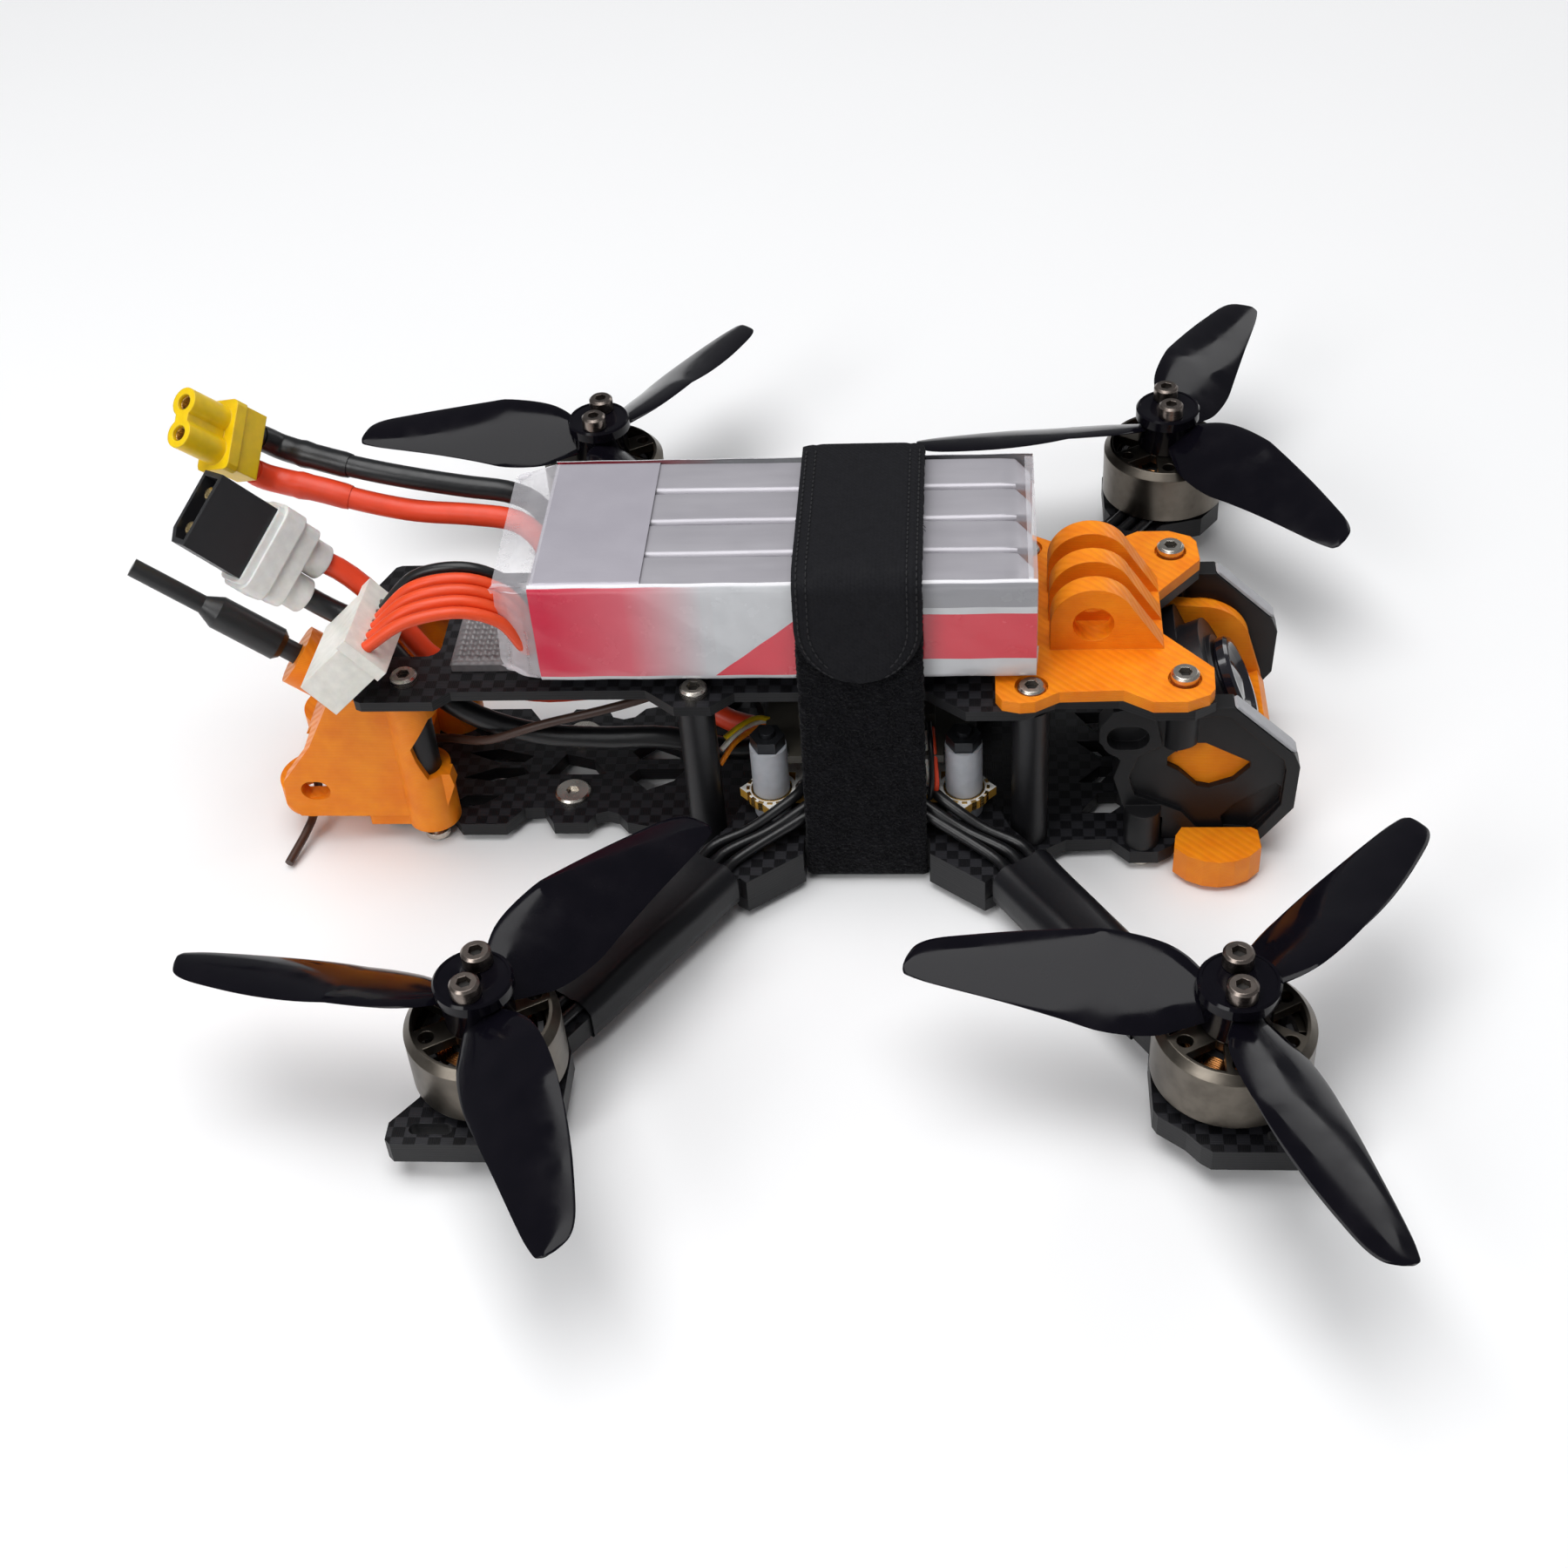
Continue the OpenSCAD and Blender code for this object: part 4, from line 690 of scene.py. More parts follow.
def make_cords():
    sleeve_red, sleeve_black = make_lead_sleeves()
    plug = [NODES["plug_boot"], NODES["power_plug"]]
    socket = NODES["battery_socket"]
    red, black = "red_silicone", "black_silicone"
    for name, route, paint, far_end, pieces in (
            ("power_red", POWER_RED, red, "plug", plug),
            ("power_black", POWER_BLACK, black, "plug", plug),
            ("battery_red", BATTERY_RED, red, "connector", [socket, sleeve_red]),
            ("battery_black", BATTERY_BLACK, black, "connector", [socket, sleeve_black])):
        kind, colour = name.split("_")
        make_cord("lead_" + name, route, LEAD_D, paint,
                  f"{kind}_lead_{colour}")
    for k in range(-2, 3):
        make_cord(f"lead_balance_{k + 3}", balance_route(k), BALANCE_D,
                  black if k == 2 else "balance_wires",
                  "balance_leads")
    make_cord("aerial", AERIAL, AERIAL_D, "aerial_jacket",
              "receiver_antenna")


# ---- propellers ----

# Side along X and Y, first blade's azimuth, handedness, screws' azimuth
CORNERS = {"rear_right": (-1, -1, 49, 1, 84), "front_right": (1, -1, 53, -1, 90),
           "front_left": (1, 1, 64, 1, 95), "rear_left": (-1, 1, 60, -1, 84)}
MOTOR_X, MOTOR_Y = 43.5, 58.75
BELL_TOP = 16.2
HUB_TOP = 22.7
TIP_R = 38.1
# Share of the tip radius, then how far the blade reaches ahead and behind
BLADE = [(0.09, 2.6, 2.4), (0.16, 4.6, 3.4), (0.24, 5.8, 4.3), (0.37, 6.5, 4.4),
         (0.52, 6.6, 3.6), (0.68, 6.2, 2.6), (0.83, 5.4, 1.7), (0.92, 4.7, 1.1),
         (0.97, 3.7, 0.6), (0.993, 2.2, 0.25), (1, 1.1, -0.3)]
PITCH = 50
BLADE_SIDES = 28
BLADE_Z = BELL_TOP + 2.7


def at_motor(corner):
    return Matrix.Translation((corner[0] * MOTOR_X, corner[1] * MOTOR_Y, 0))


def blade_ring(share, lead, trail):
    r = share * TIP_R
    middle, half = (lead - trail) / 2, (lead + trail) / 2
    slope = min(PITCH / (2 * math.pi * r), 0.5)
    thick = 0.35 + 1.0 * (1 - share)
    ring = []
    for k in range(BLADE_SIDES):
        a = 2 * math.pi * k / BLADE_SIDES
        t = middle + half * math.cos(a)
        bow = 0.09 * half * math.sin(a) ** 2
        z = BLADE_Z + t * slope + bow + thick / 2 * math.sin(a) * abs(math.sin(a)) ** 0.3
        ring.append(Vector((r, t, z)))
    return ring


def blade_rings():
    path = smooth_path([(b[0] * 100, b[1] * 10, b[2] * 10) for b in BLADE], 60)
    return [blade_ring(p.x / 100, p.y / 10, p.z / 10) for p in path]


def make_propeller(name, corner):
    azimuth, sense = corner[2:4]
    piece = Piece()
    centre = at_motor(corner)
    rings = blade_rings()
    for k in range(3):
        turn = Matrix.Rotation(math.radians(azimuth + 120 * k), 4, "Z")
        flip = Matrix.Diagonal((1, sense, 1, 1))
        piece.loft([[centre @ turn @ flip @ p for p in ring] for ring in rings])
    z = BELL_TOP
    piece.lathe([(1.05, z + 0.02), (4.0, z + 0.02), (4.2, z + 0.3), (4.2, z + 4.4),
                 (4.35, z + 4.65), (4.75, z + 4.8), (4.75, z + 6.2), (4.5, z + 6.5),
                 (4.2, z + 6.5), (4.15, z + 6.38), (1.2, z + 6.38), (1.05, z + 6.3),
                 (1.05, z + 0.02)], centre, 64)
    piece.make("propeller_" + name, "prop_plastic", node="prop_" + name, body="rotor_" + name)


# ---- battery ----

CELL_X0, CELL_X1 = -40.5, 21.5
CELL_W, CELL_Z0, CELL_H = 6.9, 29.6, 14.9
PACK_MIDDLE_Z = CELL_Z0 + CELL_H / 2
LABEL_X0, LABEL_X1 = -40.8, 21.9


def make_cells():
    """Four pouches that taper over their last 2.6 mm at the nose and 1.2 mm at the tail."""
    piece = Piece()
    run = CELL_X1 - CELL_X0
    for i in range(4):
        rings = []
        for k in range(33):
            t = k / 32
            nose = max(0, 1 - (1 - t) * run / 2.6)
            tail = max(0, 1 - t * run / 1.2)
            half = CELL_W / 2 - 0.06 - 1.5 * nose ** 2 - 0.4 * tail ** 2
            drop = 1.3 * nose ** 2.2 + 0.3 * tail ** 2
            wave = 0.05 * math.sin(9 * t + i * 2.1)
            y = (i - 1.5) * CELL_W + wave * 0.3
            rim = rounded(half, CELL_Z0 + 0.3, CELL_Z0 + CELL_H - 0.2 - drop + wave,
                          min(0.8, half * 0.6))
            rings.append([Vector((CELL_X0 + run * t, y + dy, z)) for dy, z in rim])
        piece.loft(rings)
    piece.make("pack_cells", "cell_foil", node="battery_cells")


def pack_section(inflate):
    """Section of the sleeve round the four cells, grown by inflate."""
    return rounded(2 * CELL_W + 0.12 + inflate, CELL_Z0 - 0.05,
                   CELL_Z0 + CELL_H + 0.1 + inflate, 1.3)


def make_tape():
    """Grey tape round the pack's tail, very slightly slanted."""
    piece = Piece()
    rings = []
    for x in (-40.9, -40.6, -40, -36, -32, -28, -27.2, -27.15):
        rings.append([Vector((x + (z - 30) * 0.02, y, z)) for y, z in pack_section(0.06)])
    piece.loft(rings, caps=False)
    piece.make("pack_tape", "tape", "cell_foil")


def make_label():
    """Printed sleeve over both sides and the underside, rolled over the top corners."""
    w = 2 * CELL_W + 0.36
    z0, z1 = CELL_Z0 - 0.06, CELL_Z0 + CELL_H + 0.24
    path = [(-w + 0.65, z1), (-w + 0.35, z1 - 0.1), (-w + 0.08, z1 - 0.4), (-w, z1 - 1.1)]
    path += [(-w, z1 - 1.1 - k * (z1 - z0 - 2.2) / 10) for k in range(1, 11)]
    path += [(-w + 0.2, z0 + 0.5), (-w + 0.7, z0 + 0.1), (-w + 1.4, z0)]
    path += [(-y, z) for y, z in reversed(path)]
    rings = []
    for k in range(45):
        x = LABEL_X0 + (LABEL_X1 - LABEL_X0) * k / 44
        rings.append([Vector((x, y + 0.05 * math.sin(x * 0.7 + z), z)) for y, z in path])
    piece = Piece()
    piece.loft(rings, closed=False, caps=False)
    piece.make("pack_label", "wrap_film", node="battery_wrap")


def make_film():
    """Clear shrink film: a crumpled cuff past the tail and a rim folded over the nose."""
    noise = [dice.uniform(-1, 1) for _ in range(80)]
    rings = []
    for k in range(13):
        t = k / 12
        squeeze = 1 - 0.13 * t ** 1.5
        ring = []
        for i, (y, z) in enumerate(pack_section(0.1)):
            crumple = 0.35 * t * math.sin(i * 1.9 + 5 * t) + 0.25 * t * noise[i]
            ring.append(Vector((-40.2 - 5.6 * t + 0.5 * t * noise[i + 36],
                                y * squeeze + crumple * (0.5 if abs(y) > 10 else 1),
                                PACK_MIDDLE_Z + (z - PACK_MIDDLE_Z) * squeeze + crumple)))
        rings.append(ring)
    tail = Piece()
    tail.loft(rings, caps=False)
    tail.make("pack_film_tail", "film", "wrap_film")
    rings = []
    for k in range(9):
        t = k / 8
        inset = 2.6 * max(0, t - 0.35) / 0.65
        x = 20.8 + 1.15 * min(1, t / 0.35)
        rings.append([Vector((x + 0.12 * inset * noise[i], y * (1 - inset / 14),
                              PACK_MIDDLE_Z + (z - PACK_MIDDLE_Z) * (1 - inset / 7.5)))
                      for i, (y, z) in enumerate(pack_section(0.12))])
    nose = Piece()
    nose.loft(rings, caps=False)
    nose.make("pack_film_nose", "film", "wrap_film")


def make_pad():
    """Grip sheet with a pressed pattern of small lozenges."""
    low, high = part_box("battery_pad")
    x0, x1 = low.x / MM, high.x / MM
    y0, y1 = low.y / MM, high.y / MM
    z0, z1 = low.z / MM, high.z / MM
    nx, ny = 280, 70
    lozenge = 2.2
    points, faces = [], []
    for i in range(nx + 1):
        for j in range(ny + 1):
            x = x0 + (x1 - x0) * i / nx
            y = y0 + (y1 - y0) * j / ny
            a, b = (x + y) * 2 * math.pi / lozenge, (x - y) * 2 * math.pi / lozenge
            lump = (0.5 + 0.5 * math.cos(a) * math.cos(b)) ** 2
            edge = min(1, min(x - x0, x1 - x, y - y0, y1 - y) / 1.1)
            drop = 0.9 * (1 - math.sqrt(max(0, 1 - (1 - max(0, edge)) ** 2)))
            points.append((x, y, z1 - 0.5 * (1 - lump) * edge - drop))
    for i in range(nx):
        for j in range(ny):
            a = i * (ny + 1) + j
            faces.append((a, a + ny + 1, a + ny + 2, a + 1))
    piece = Piece()
    piece.add(points, faces)
    piece.box((x0 + 0.1, y0 + 0.1, z0), (x1 - 0.1, y1 - 0.1, z1 - 0.9))
    piece.make("grip_pad", "pad_rubber", node="battery_pad", sharp=80)


# ---- strap ----

# Right half of the strap's middle line, as y and z pairs
STRAP_LINE = [(0, 0.6), (10, 0.6), (18.6, 0.6), (19.35, 1.4), (19.5, 3), (19.5, 7.0),
              (17.8, 20), (16.2, 32), (14.98, 43.2), (14.8, 44.4), (14.2, 45.2), (13.2, 45.68),
              (9, 45.7), (0, 45.7)]
STRAP_W = 16
STRAP_HALF_T = 0.6
STRAP_STEPS = 420
PILE_LOOPS = 6500


def strap_round():
    """Points along the closed middle line, y and z in each one's x and y, with its direction."""
    loop = STRAP_LINE + [(-y, z) for y, z in reversed(STRAP_LINE[1:-1])] + STRAP_LINE[:1]
    line = shared_out([Vector((y, z, 0)) for y, z in loop], STRAP_STEPS)[:-1]
    return [(p, (line[(i + 2) % STRAP_STEPS] - line[i - 2]).normalized())
            for i, p in enumerate(line)]


def make_strap():
    centre = strap_round()
    across = 46
    section = [(-STRAP_W / 2 + STRAP_W * k / across, STRAP_HALF_T) for k in range(across + 1)]
    section += [(STRAP_W / 2 - STRAP_W * k / across, -STRAP_HALF_T) for k in range(across + 1)]
    rings = []
    for i in range(STRAP_STEPS + 1):
        p, ahead = centre[i % STRAP_STEPS]
        out = Vector((ahead.y, -ahead.x, 0))
        ring = []
        for x, t in section:
            rim = max(0, abs(x) - STRAP_W / 2 + 0.5) / 0.5
            fuzz = dice.uniform(-0.16, 0.0) if t > 0 else 0
            side = dice.uniform(-0.22, 0.0) * rim * (1 if x > 0 else -1)
            under = p.y < 1.5
            q = p + out * (t * (1 - 0.45 * rim) + (0 if under else fuzz))
            ring.append(Vector((x + side, q.x, max(0.0, q.y))))
        rings.append(ring)
    piece = Piece()
    piece.loft(rings, caps=False)
    piece.make("strap", "strap_webbing", node="battery_strap", sharp=180)


def make_strap_loops():
    """Pile of the webbing: small thread loops standing on its outer face."""
    centre = strap_round()
    piece = Piece()
    for _ in range(PILE_LOOPS):
        p, ahead = centre[dice.randrange(STRAP_STEPS)]
        x = dice.uniform(-7.8, 7.8)
        out = Vector((0, ahead.y, -ahead.x))
        run = Vector((0, ahead.x, ahead.y))
        root = Vector((x, p.x, p.y)) + out * 0.45
        if p.y < 1.6:
            continue
        side = Quaternion(out, dice.uniform(0, 2 * math.pi)) @ run
        span, rise = dice.uniform(0.25, 0.5), dice.uniform(0.22, 0.42)
        loop = [root - side * span, root - side * span * 0.6 + out * rise * 0.8,
                root + out * rise, root + side * span * 0.6 + out * rise * 0.8,
                root + side * span]
        piece.loft(tube_rings(loop, 0.045, 4), caps=False)
    piece.make("strap_pile", "strap_webbing", sharp=180)


TAB_LINE = [(12.6, 46.9), (6, 46.95), (0, 46.95), (-9, 46.95), (-13.4, 46.9), (-14.9, 46.3),
            (-15.9, 45.2), (-16.1, 43.4), (-16.8, 37.6), (-17.4, 32)]


TAB_STEPS = 90
TAB_ROUND = 8


def tab_half_width(s, total):
    """Half the tab's width at s from its start; the last 8 mm are a half circle."""
    left = total - s
    if left > TAB_ROUND:
        return TAB_ROUND
    return max(0.05, math.sqrt(max(0, TAB_ROUND ** 2 - (TAB_ROUND - left) ** 2)))


def make_tab():
    """The strap's sewn end, with a groove under its row of stitches."""
    path = smooth_path([(0, y, z) for y, z in TAB_LINE], TAB_STEPS)
    total = run_length(path)
    rings = []
    stations = []
    s = 0
    for i, p in enumerate(path):
        if i:
            s += (p - path[i - 1]).length
        ahead = (path[min(i + 1, TAB_STEPS)] - path[max(i - 1, 0)]).normalized()
        out = Vector((0, ahead.z, -ahead.y))
        stations.append((s, p, out))
        half = tab_half_width(s, total) - 0.1
        ring = []
        for k in range(33):
            a = math.pi * k / 32
            x = -half * math.cos(a)
            rim = 1 - abs(math.cos(a)) ** 8
            groove = 0.14 * math.exp(-((abs(x) - max(0, half - 1.9)) / 0.28) ** 2)
            ring.append(p + Vector((x, 0, 0)) + out * (0.42 * rim - groove + 0.1))
        for k in range(33):
            a = math.pi * (32 - k) / 32
            ring.append(p + Vector((-half * math.cos(a), 0, 0)) - out * 0.5)
        rings.append(ring)
    piece = Piece()
    piece.loft(rings)
    piece.make("strap_end", "strap_tab", node="strap_tab", sharp=60)
    make_stitches(stations, total)


def make_stitches(stations, total):
    """Two rows of stitches round the tab's rim."""
    seams = Piece()
    for inset in (0.7, 1.9):
        for side in (-1, 1):
            line = []
            for s, p, out in stations:
                half = tab_half_width(s, total) - inset
                if s > 1 and half > 0.2 and s < total - inset:
                    line.append(p + Vector((side * half, 0, 0)) + out * 0.48)
            even = smooth_path(line, int(run_length(line) / 0.95))
            for a, b in zip(even, even[1:]):
                start, end = a.lerp(b, 0.14), a.lerp(b, 0.86)
                seams.tube([start, start.lerp(end, 0.5), end], [0.06, 0.13, 0.06], 6)
    seams.make("strap_stitches", "stitch", "strap_tab")


# ---- arms ----

ARM_ROOT = Vector((19.2, 23.3, 0))
MOTOR_Z = 6.4


ARM_RUN = Vector((MOTOR_X, MOTOR_Y, 0)) - ARM_ROOT
ARM_AHEAD = ARM_RUN.normalized()
ARM_SIDE = Vector((ARM_AHEAD.y, -ARM_AHEAD.x, 0))
SLEEVE_S0, SLEEVE_LENGTH = 1.6, 28.4
WIRE_R = 0.72
WIRE_PITCH = 2.1
WIRE_Z = 7.13


def on_arm(s, t, z):
    """A point of the front left arm: s along it, t across it."""
    p = ARM_ROOT + ARM_AHEAD * s + ARM_SIDE * t
    return Vector((p.x, p.y, z))


def corner_matrix(corner):
    """Mirrors the front left corner's shapes to another corner."""
    return Matrix.Diagonal((corner[0], corner[1], 1, 1))


def sleeve_ring(s, t, number):
    """Section of the shrink sleeve at s; t runs from 0 at its inner end to 1 at the motor."""
    flare = 0.25 * math.exp(-t * 22) - 0.2 * max(0, t - 0.9) * 4
    bulge = [0.16 * math.sin(3.1 * s / 6 + number), 0.2 * math.sin(2.2 * s / 6 + 1 + number)]
    z0 = 2.88
    ring = []
    flank = [(4.32, z0 + 0.35), (4.35, z0 + 1.6), (4.34, 6.3), (4.22, 7.0), (3.7, 7.7),
             (3.1, 8.2), (2.5, 8.42), (1.9, 8.42), (1.1, 8.15)]
    profile = [(-4.1, z0 + 0.05), (-2, z0), (0, z0), (2, z0), (4.1, z0 + 0.05), *flank,
               (0, 8.35), *((-x, z) for x, z in reversed(flank))]
    for x, z in profile:
        lift = (bulge[0] if x > 0 else bulge[1]) if z > 7 else 0
        drop = 0.5 * max(0, t - 0.75) * (1 if z > 7 else 0)
        ring.append(on_arm(s, x * (1 + flare * 0.12), z + lift * 0.6 - drop + flare * 0.4))
    return ring


def make_sleeves():
    """Shrink sleeves round arm and wires, each bulging its own way, with a turned-in mouth."""
    piece = Piece()
    for number, corner in enumerate(CORNERS.values()):
        flip = corner_matrix(corner)

        def ring_at(s, t):
            return [flip @ p for p in sleeve_ring(SLEEVE_S0 + s, t, number * 1.7)]

        piece.loft([ring_at(SLEEVE_LENGTH * k / 36, k / 36) for k in range(37)], caps=False)
        inner = [ring_at(0, 0)]
        for k in range(4):
            ring = ring_at(0.9 * k, 0.05 * k)
            middle = sum(ring, Vector()) / len(ring)
            inner.append([middle.lerp(p, 0.94) for p in ring])
        piece.loft(inner, caps=False)
    piece.make("shrink_sleeves", "sleeve_film", node="arm_sleeves", sharp=70)


WIRE_STARTS = [[(2.8, 13.9, 11.1), (3.2, 15.5, 11.1), (6.6, 16.9, 10), (10, 18.6, 8.8)],
               [(5.6, 13.8, 11.1), (6.2, 15.4, 11.1), (9, 17.2, 10), (13, 19.2, 8.3)],
               [(8.4, 13.6, 11.1), (9.2, 15.2, 11.1), (12, 17.2, 10), (15.6, 18.9, 8.3)]]


def make_motor_wires():
    piece = Piece()
    for corner in CORNERS.values():
        flip = corner_matrix(corner)
        for k, start in enumerate(WIRE_STARTS):
            t = WIRE_PITCH * (k - 1)
            route = start + [on_arm(-1.6, t, WIRE_Z + 0.2), on_arm(2.4, t, WIRE_Z),
                             on_arm(17, t, WIRE_Z), on_arm(ARM_RUN.length - 7.4, t, WIRE_Z)]
            piece.tube([flip @ p for p in smooth_path(route, 60)], WIRE_R, 14)
    piece.make("motor_leads", "black_silicone", node="motor_wires")


# ---- motors ----

def make_windings():
    """Copper coils: stacked rounded loops around each of the nine stator teeth."""
    piece = Piece()
    z0, z1 = MOTOR_Z + 2.5, MOTOR_Z + 7.1
    for corner in CORNERS.values():
        centre = at_motor(corner)
        for k in range(9):
            turn = centre @ Matrix.Rotation(math.radians(40 * k), 4, "Z")
            for layer in range(6):
                r = 4.25 + layer * 0.3
                w = 0.95 + 0.07 * layer
                loop = []
                for q in range(20):
                    a = 2 * math.pi * q / 20
                    c, s = math.cos(a), math.sin(a)
                    y = w * math.copysign(abs(c) ** 0.5, c)
                    z = (z0 + z1) / 2 + (z1 - z0) / 2 * math.copysign(abs(s) ** 0.35, s)
                    loop.append(turn @ Vector((r, y, z)))
                piece.loft(tube_rings(loop + loop[:2], 0.17, 6), caps=False)
    piece.make("coil_windings", "copper", node="motor_windings")


# ---- boards ----

BOARD_TOP = 10.2
EAR_AT = 12.75


def solder_blob(piece, x, y, z, r, h):
    piece.lathe([(0.01, z), (r * 1.1, z), (r, z + h * 0.35), (r * 0.72, z + h * 0.8),
                 (r * 0.3, z + h), (0.01, z + h * 1.02)], Matrix.Translation((x, y, 0)), 16)


def make_solder():
    piece = Piece()
    for sx in (-1, 1):
        for sy in (-1, 1):
            for x, y in ((2.8, 13.0), (5.6, 13.0), (8.4, 12.7)):
                solder_blob(piece, sx * x, sy * y, BOARD_TOP, 1.15, 0.95)
    for y in (-1.8, -6):
        solder_blob(piece, -12.6, y, BOARD_TOP, 1.4, 1.1)
    piece.make("solder_joints", "solder", "steel", sharp=180)


PLUG_AT = (-72.7, 0, 36.2)
PLUG_DIR = (-0.58, -0.24, 0.78)
PLUG_ACROSS = (0.45, 0.70, 0.56)
SOCKET_AT = (-81, 11, 49.2)
SOCKET_DIR = (-0.43, -0.5, 0.75)
SOCKET_ACROSS = (0.1, 0.8, 0.59)


def plug_frame(at, ahead, across):
    x = Vector(ahead).normalized()
    z = x.cross(Vector(across)).normalized()
    return Matrix.Translation(at) @ Matrix((x, z.cross(x), z)).transposed().to_4x4()


def make_contacts():
    """Brass faces of the two plugs' contacts: round pins and the sockets' tubes."""
    pins, tubes = Piece(), Piece()
    lie = Matrix.Rotation(math.radians(90), 4, "Y")
    plug = plug_frame(PLUG_AT, PLUG_DIR, PLUG_ACROSS)
    socket = plug_frame(SOCKET_AT, SOCKET_DIR, SOCKET_ACROSS)
    for side in (-1, 1):
        place = plug @ Matrix.Translation((12.3, side * 2.5, 0)) @ lie
        pins.lathe([(0.01, 0), (0.99, 0), (0.99, 5.4), (0.8, 6.05), (0.45, 6.25), (0.01, 6.25)],
                   place, 24)
        place = socket @ Matrix.Translation((7, side * 2.1, 0)) @ lie
        tubes.lathe([(0.72, 0.1), (1.0, 0.1), (1.0, 4.4), (0.92, 4.6), (0.8, 4.6), (0.72, 4.4),
                     (0.72, 0.1)], place, 24)
    pins.make("plug_pins", "brass", "plug_black")
    tubes.make("socket_tubes", "brass", "socket_yellow")


STRIP_TOP, STRIP_FOOT = Vector((46.7, 0, 25.75)), Vector((54.9, 0, 17.75))


def make_cage_strips():
    """Pale strips on the slanting front edges of the cage's side plates."""
    piece = Piece()
    along = (STRIP_FOOT - STRIP_TOP).normalized()
    out = Vector((-along.z, 0, along.x))
    for side in (-1, 1):
        rings = []
        for s in (0, 0.3, 10.6, 11.3):
            p = STRIP_TOP + along * (s + 0.1)
            w = 0.3 if s in (0, 11.3) else 0
            ring = []
            for y, h in ((12.9 + w, -0.1), (15.2 - w, -0.1), (15.2 - w, 0.25), (12.9 + w, 0.25)):
                ring.append(Vector((p.x, side * y, p.z)) + out * h)
            rings.append(ring)
        piece.loft(rings)
    piece.make("cage_strips", "cage_edge", "cage_plastic", smooth=False)


def make_small_parts():
    """Chips, capacitors and gold pads spread over the board's face and round its ears."""
    parts, gold = Piece(), Piece()
    for k in range(46):
        x = dice.uniform(-11, 11)
        y = dice.uniform(-11, 11)
        if abs(x) > 9 and abs(y) > 9 or abs(x) < 3.8 and abs(y) < 3.8 or abs(abs(x) - 8.6) < 2.6:
            continue
        w, d = dice.choice([(0.8, 0.5), (1.2, 0.7), (1.6, 1.6)])
        parts.box((x - w / 2, y - d / 2, BOARD_TOP), (x + w / 2, y + d / 2, BOARD_TOP + 0.5))
    for sx in (-1, 1):
        for sy in (-1, 1):
            centre = Matrix.Translation((sx * EAR_AT, sy * EAR_AT, 0))
            gold.lathe([(2.55, BOARD_TOP + 0.01), (2.75, BOARD_TOP + 0.01),
                        (2.75, BOARD_TOP + 0.05), (2.55, BOARD_TOP + 0.05),
                        (2.55, BOARD_TOP + 0.01)], centre, 32)
            for k in range(7):
                a = math.atan2(sy, sx) + math.radians(-66 + 22 * k)
                place = centre @ Matrix.Rotation(a, 4, "Z")
                gold.box((2.95, -0.36, 8.85), (3.36, 0.36, BOARD_TOP + 0.06), place=place)
    parts.make("board_parts", "chip_plastic", smooth=False)
    gold.make("board_pads", "gold", "board_white")


PLATE_TOP = 27.2
SHADE_DISC_R = 0.86
# Bottoms of the hexagonal sockets on the right side of the top plate, where discs of painted shade
# sit
TOP_SOCKETS = [(-59.9, 10.4, PLATE_TOP + 0.3), (-21.6, 13.4, PLATE_TOP + 0.3),
               (21.3, 14.6, PLATE_TOP + 1.1), (40.4, 13.4, PLATE_TOP + 1.9)]


# A thin dark hexagonal disc that stands for the shade at a socket's floor
def add_shade_disc(piece, place):
    piece.lathe([(0.01, 0), (SHADE_DISC_R, 0), (SHADE_DISC_R, 0.06), (0.01, 0.06)], place, 6)


def make_shade_discs():
    """Dark discs on the floors of the hexagonal sockets in the plate's and the propellers' screws:
    painted shade in the recesses.
    """
    top = Piece()
    for side in (-1, 1):
        for x, y, z in TOP_SOCKETS:
            add_shade_disc(top, Matrix.Translation((x, side * y, z + 0.01)))
    top.make("top_screw_shade_discs", "well", "steel", smooth=False)
    for name, corner in CORNERS.items():
        piece = Piece()
        turn = Matrix.Rotation(math.radians(corner[4]), 4, "Z")
        for side in (-1, 1):
            add_shade_disc(piece, at_motor(corner) @ turn
                     @ Matrix.Translation((side * 2.5, 0, HUB_TOP + 1.11)))
        piece.make("prop_screw_shade_discs_" + name, "well", "steel", body="rotor_" + name, smooth=False)


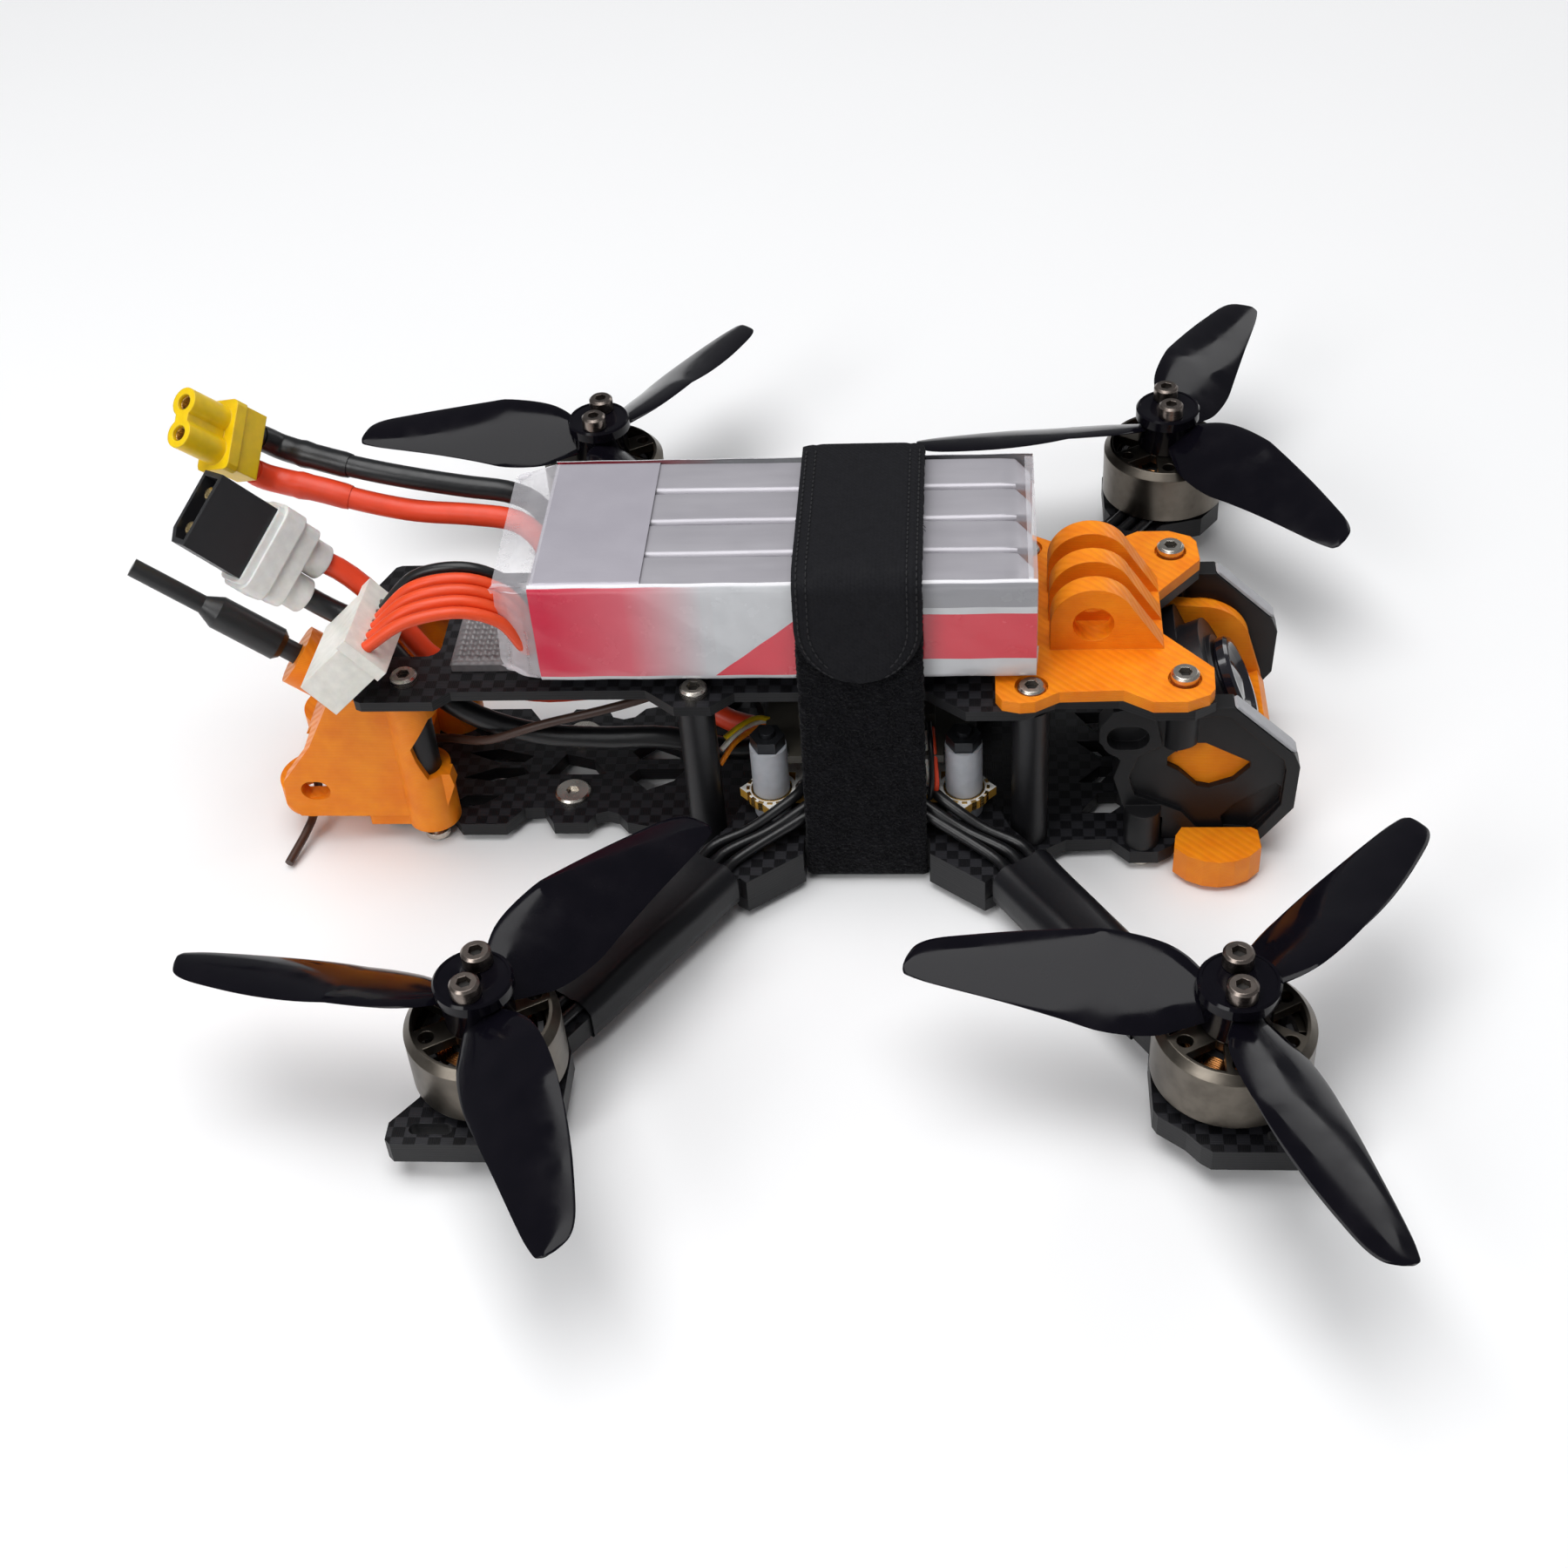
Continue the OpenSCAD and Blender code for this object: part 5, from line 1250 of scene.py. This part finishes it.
# Thin loose wires from the stack: paint and route
HOOKUPS = [
    ("red_silicone", [(8.6, -9.4, 17.6), (8.9, -12.8, 16.5), (9.2, -15, 13), (9, -14.6, 10.8)]),
    ("black_silicone", [(8.2, -9.2, 18.4), (8.5, -12.9, 17.2), (8.6, -15.4, 13.6),
                        (8.3, -15.8, 10.9)]),
    ("plug_white", [(8.0, -9.6, 17.2), (7.9, -12.9, 15.8), (8.2, -14.4, 13.4), (8, -13.6, 11)]),
    ("socket_yellow", [(-12.4, -5.4, 15.6), (-14.6, -6.4, 17), (-16.6, -8.6, 17.6),
                       (-18.6, -10.6, 17.2)]),
    ("plug_white", [(-12.4, -4.6, 15), (-14.9, -6.2, 16), (-17.2, -8.8, 16.4),
                    (-19.2, -11.2, 15.6)]),
    ("orange_print", [(-12.4, -4, 14.2), (-15.1, -6.4, 15), (-17.6, -9.2, 15),
                      (-19.4, -11.9, 13.6)])]


def make_hookups():
    paints = ["red_silicone", "black_silicone", "plug_white", "socket_yellow", "orange_print"]
    piece = Piece()
    for paint, route in HOOKUPS:
        piece.tube(smooth_path(route, 24), 0.36, 10, mark=paints.index(paint))
    piece.make("hookup_wires", paints, "balance_wires")


COAX = [(-73.8, 0, 20.8), (-70, 0.8, 17.8), (-64, 2.6, 16.2), (-52, 4.6, 16.6),
        (-38, 3.6, 17.8), (-24, 1.6, 17.6), (-14, 0.5, 17.2), (-9.1, 0.5, 17.2)]
COAX_R = 0.65


def make_coax():
    piece = Piece()
    piece.tube(smooth_path(COAX, 70), COAX_R, 12)
    piece.make("coax_lead", "coax_jacket", node="video_coax")


# ---- floor and the run ----

FLOOR_HALF = 4000


def make_floor():
    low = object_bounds()[0]
    mesh = bpy.data.meshes.new("floor")
    mesh.from_pydata([(x * FLOOR_HALF * MM, y * FLOOR_HALF * MM, low[2] - 0.0001)
                      for x, y in ((-1, -1), (1, -1), (1, 1), (-1, 1))], [], [(0, 1, 2, 3)])
    mesh.materials.append(floor_paper())
    floor = bpy.data.objects.new("floor", mesh)
    scene.collection.objects.link(floor)
    floor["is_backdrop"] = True


make_camera()
make_light()
make_cords()
paint_cad()
for name, corner in CORNERS.items():
    make_propeller(name, corner)
for build in (make_cells, make_tape, make_label, make_film, make_pad, make_strap,
              make_strap_loops, make_tab, make_sleeves, make_motor_wires, make_windings,
              make_solder, make_cage_strips, make_contacts, make_small_parts, make_shade_discs,
              make_hookups, make_coax, make_floor):
    build()
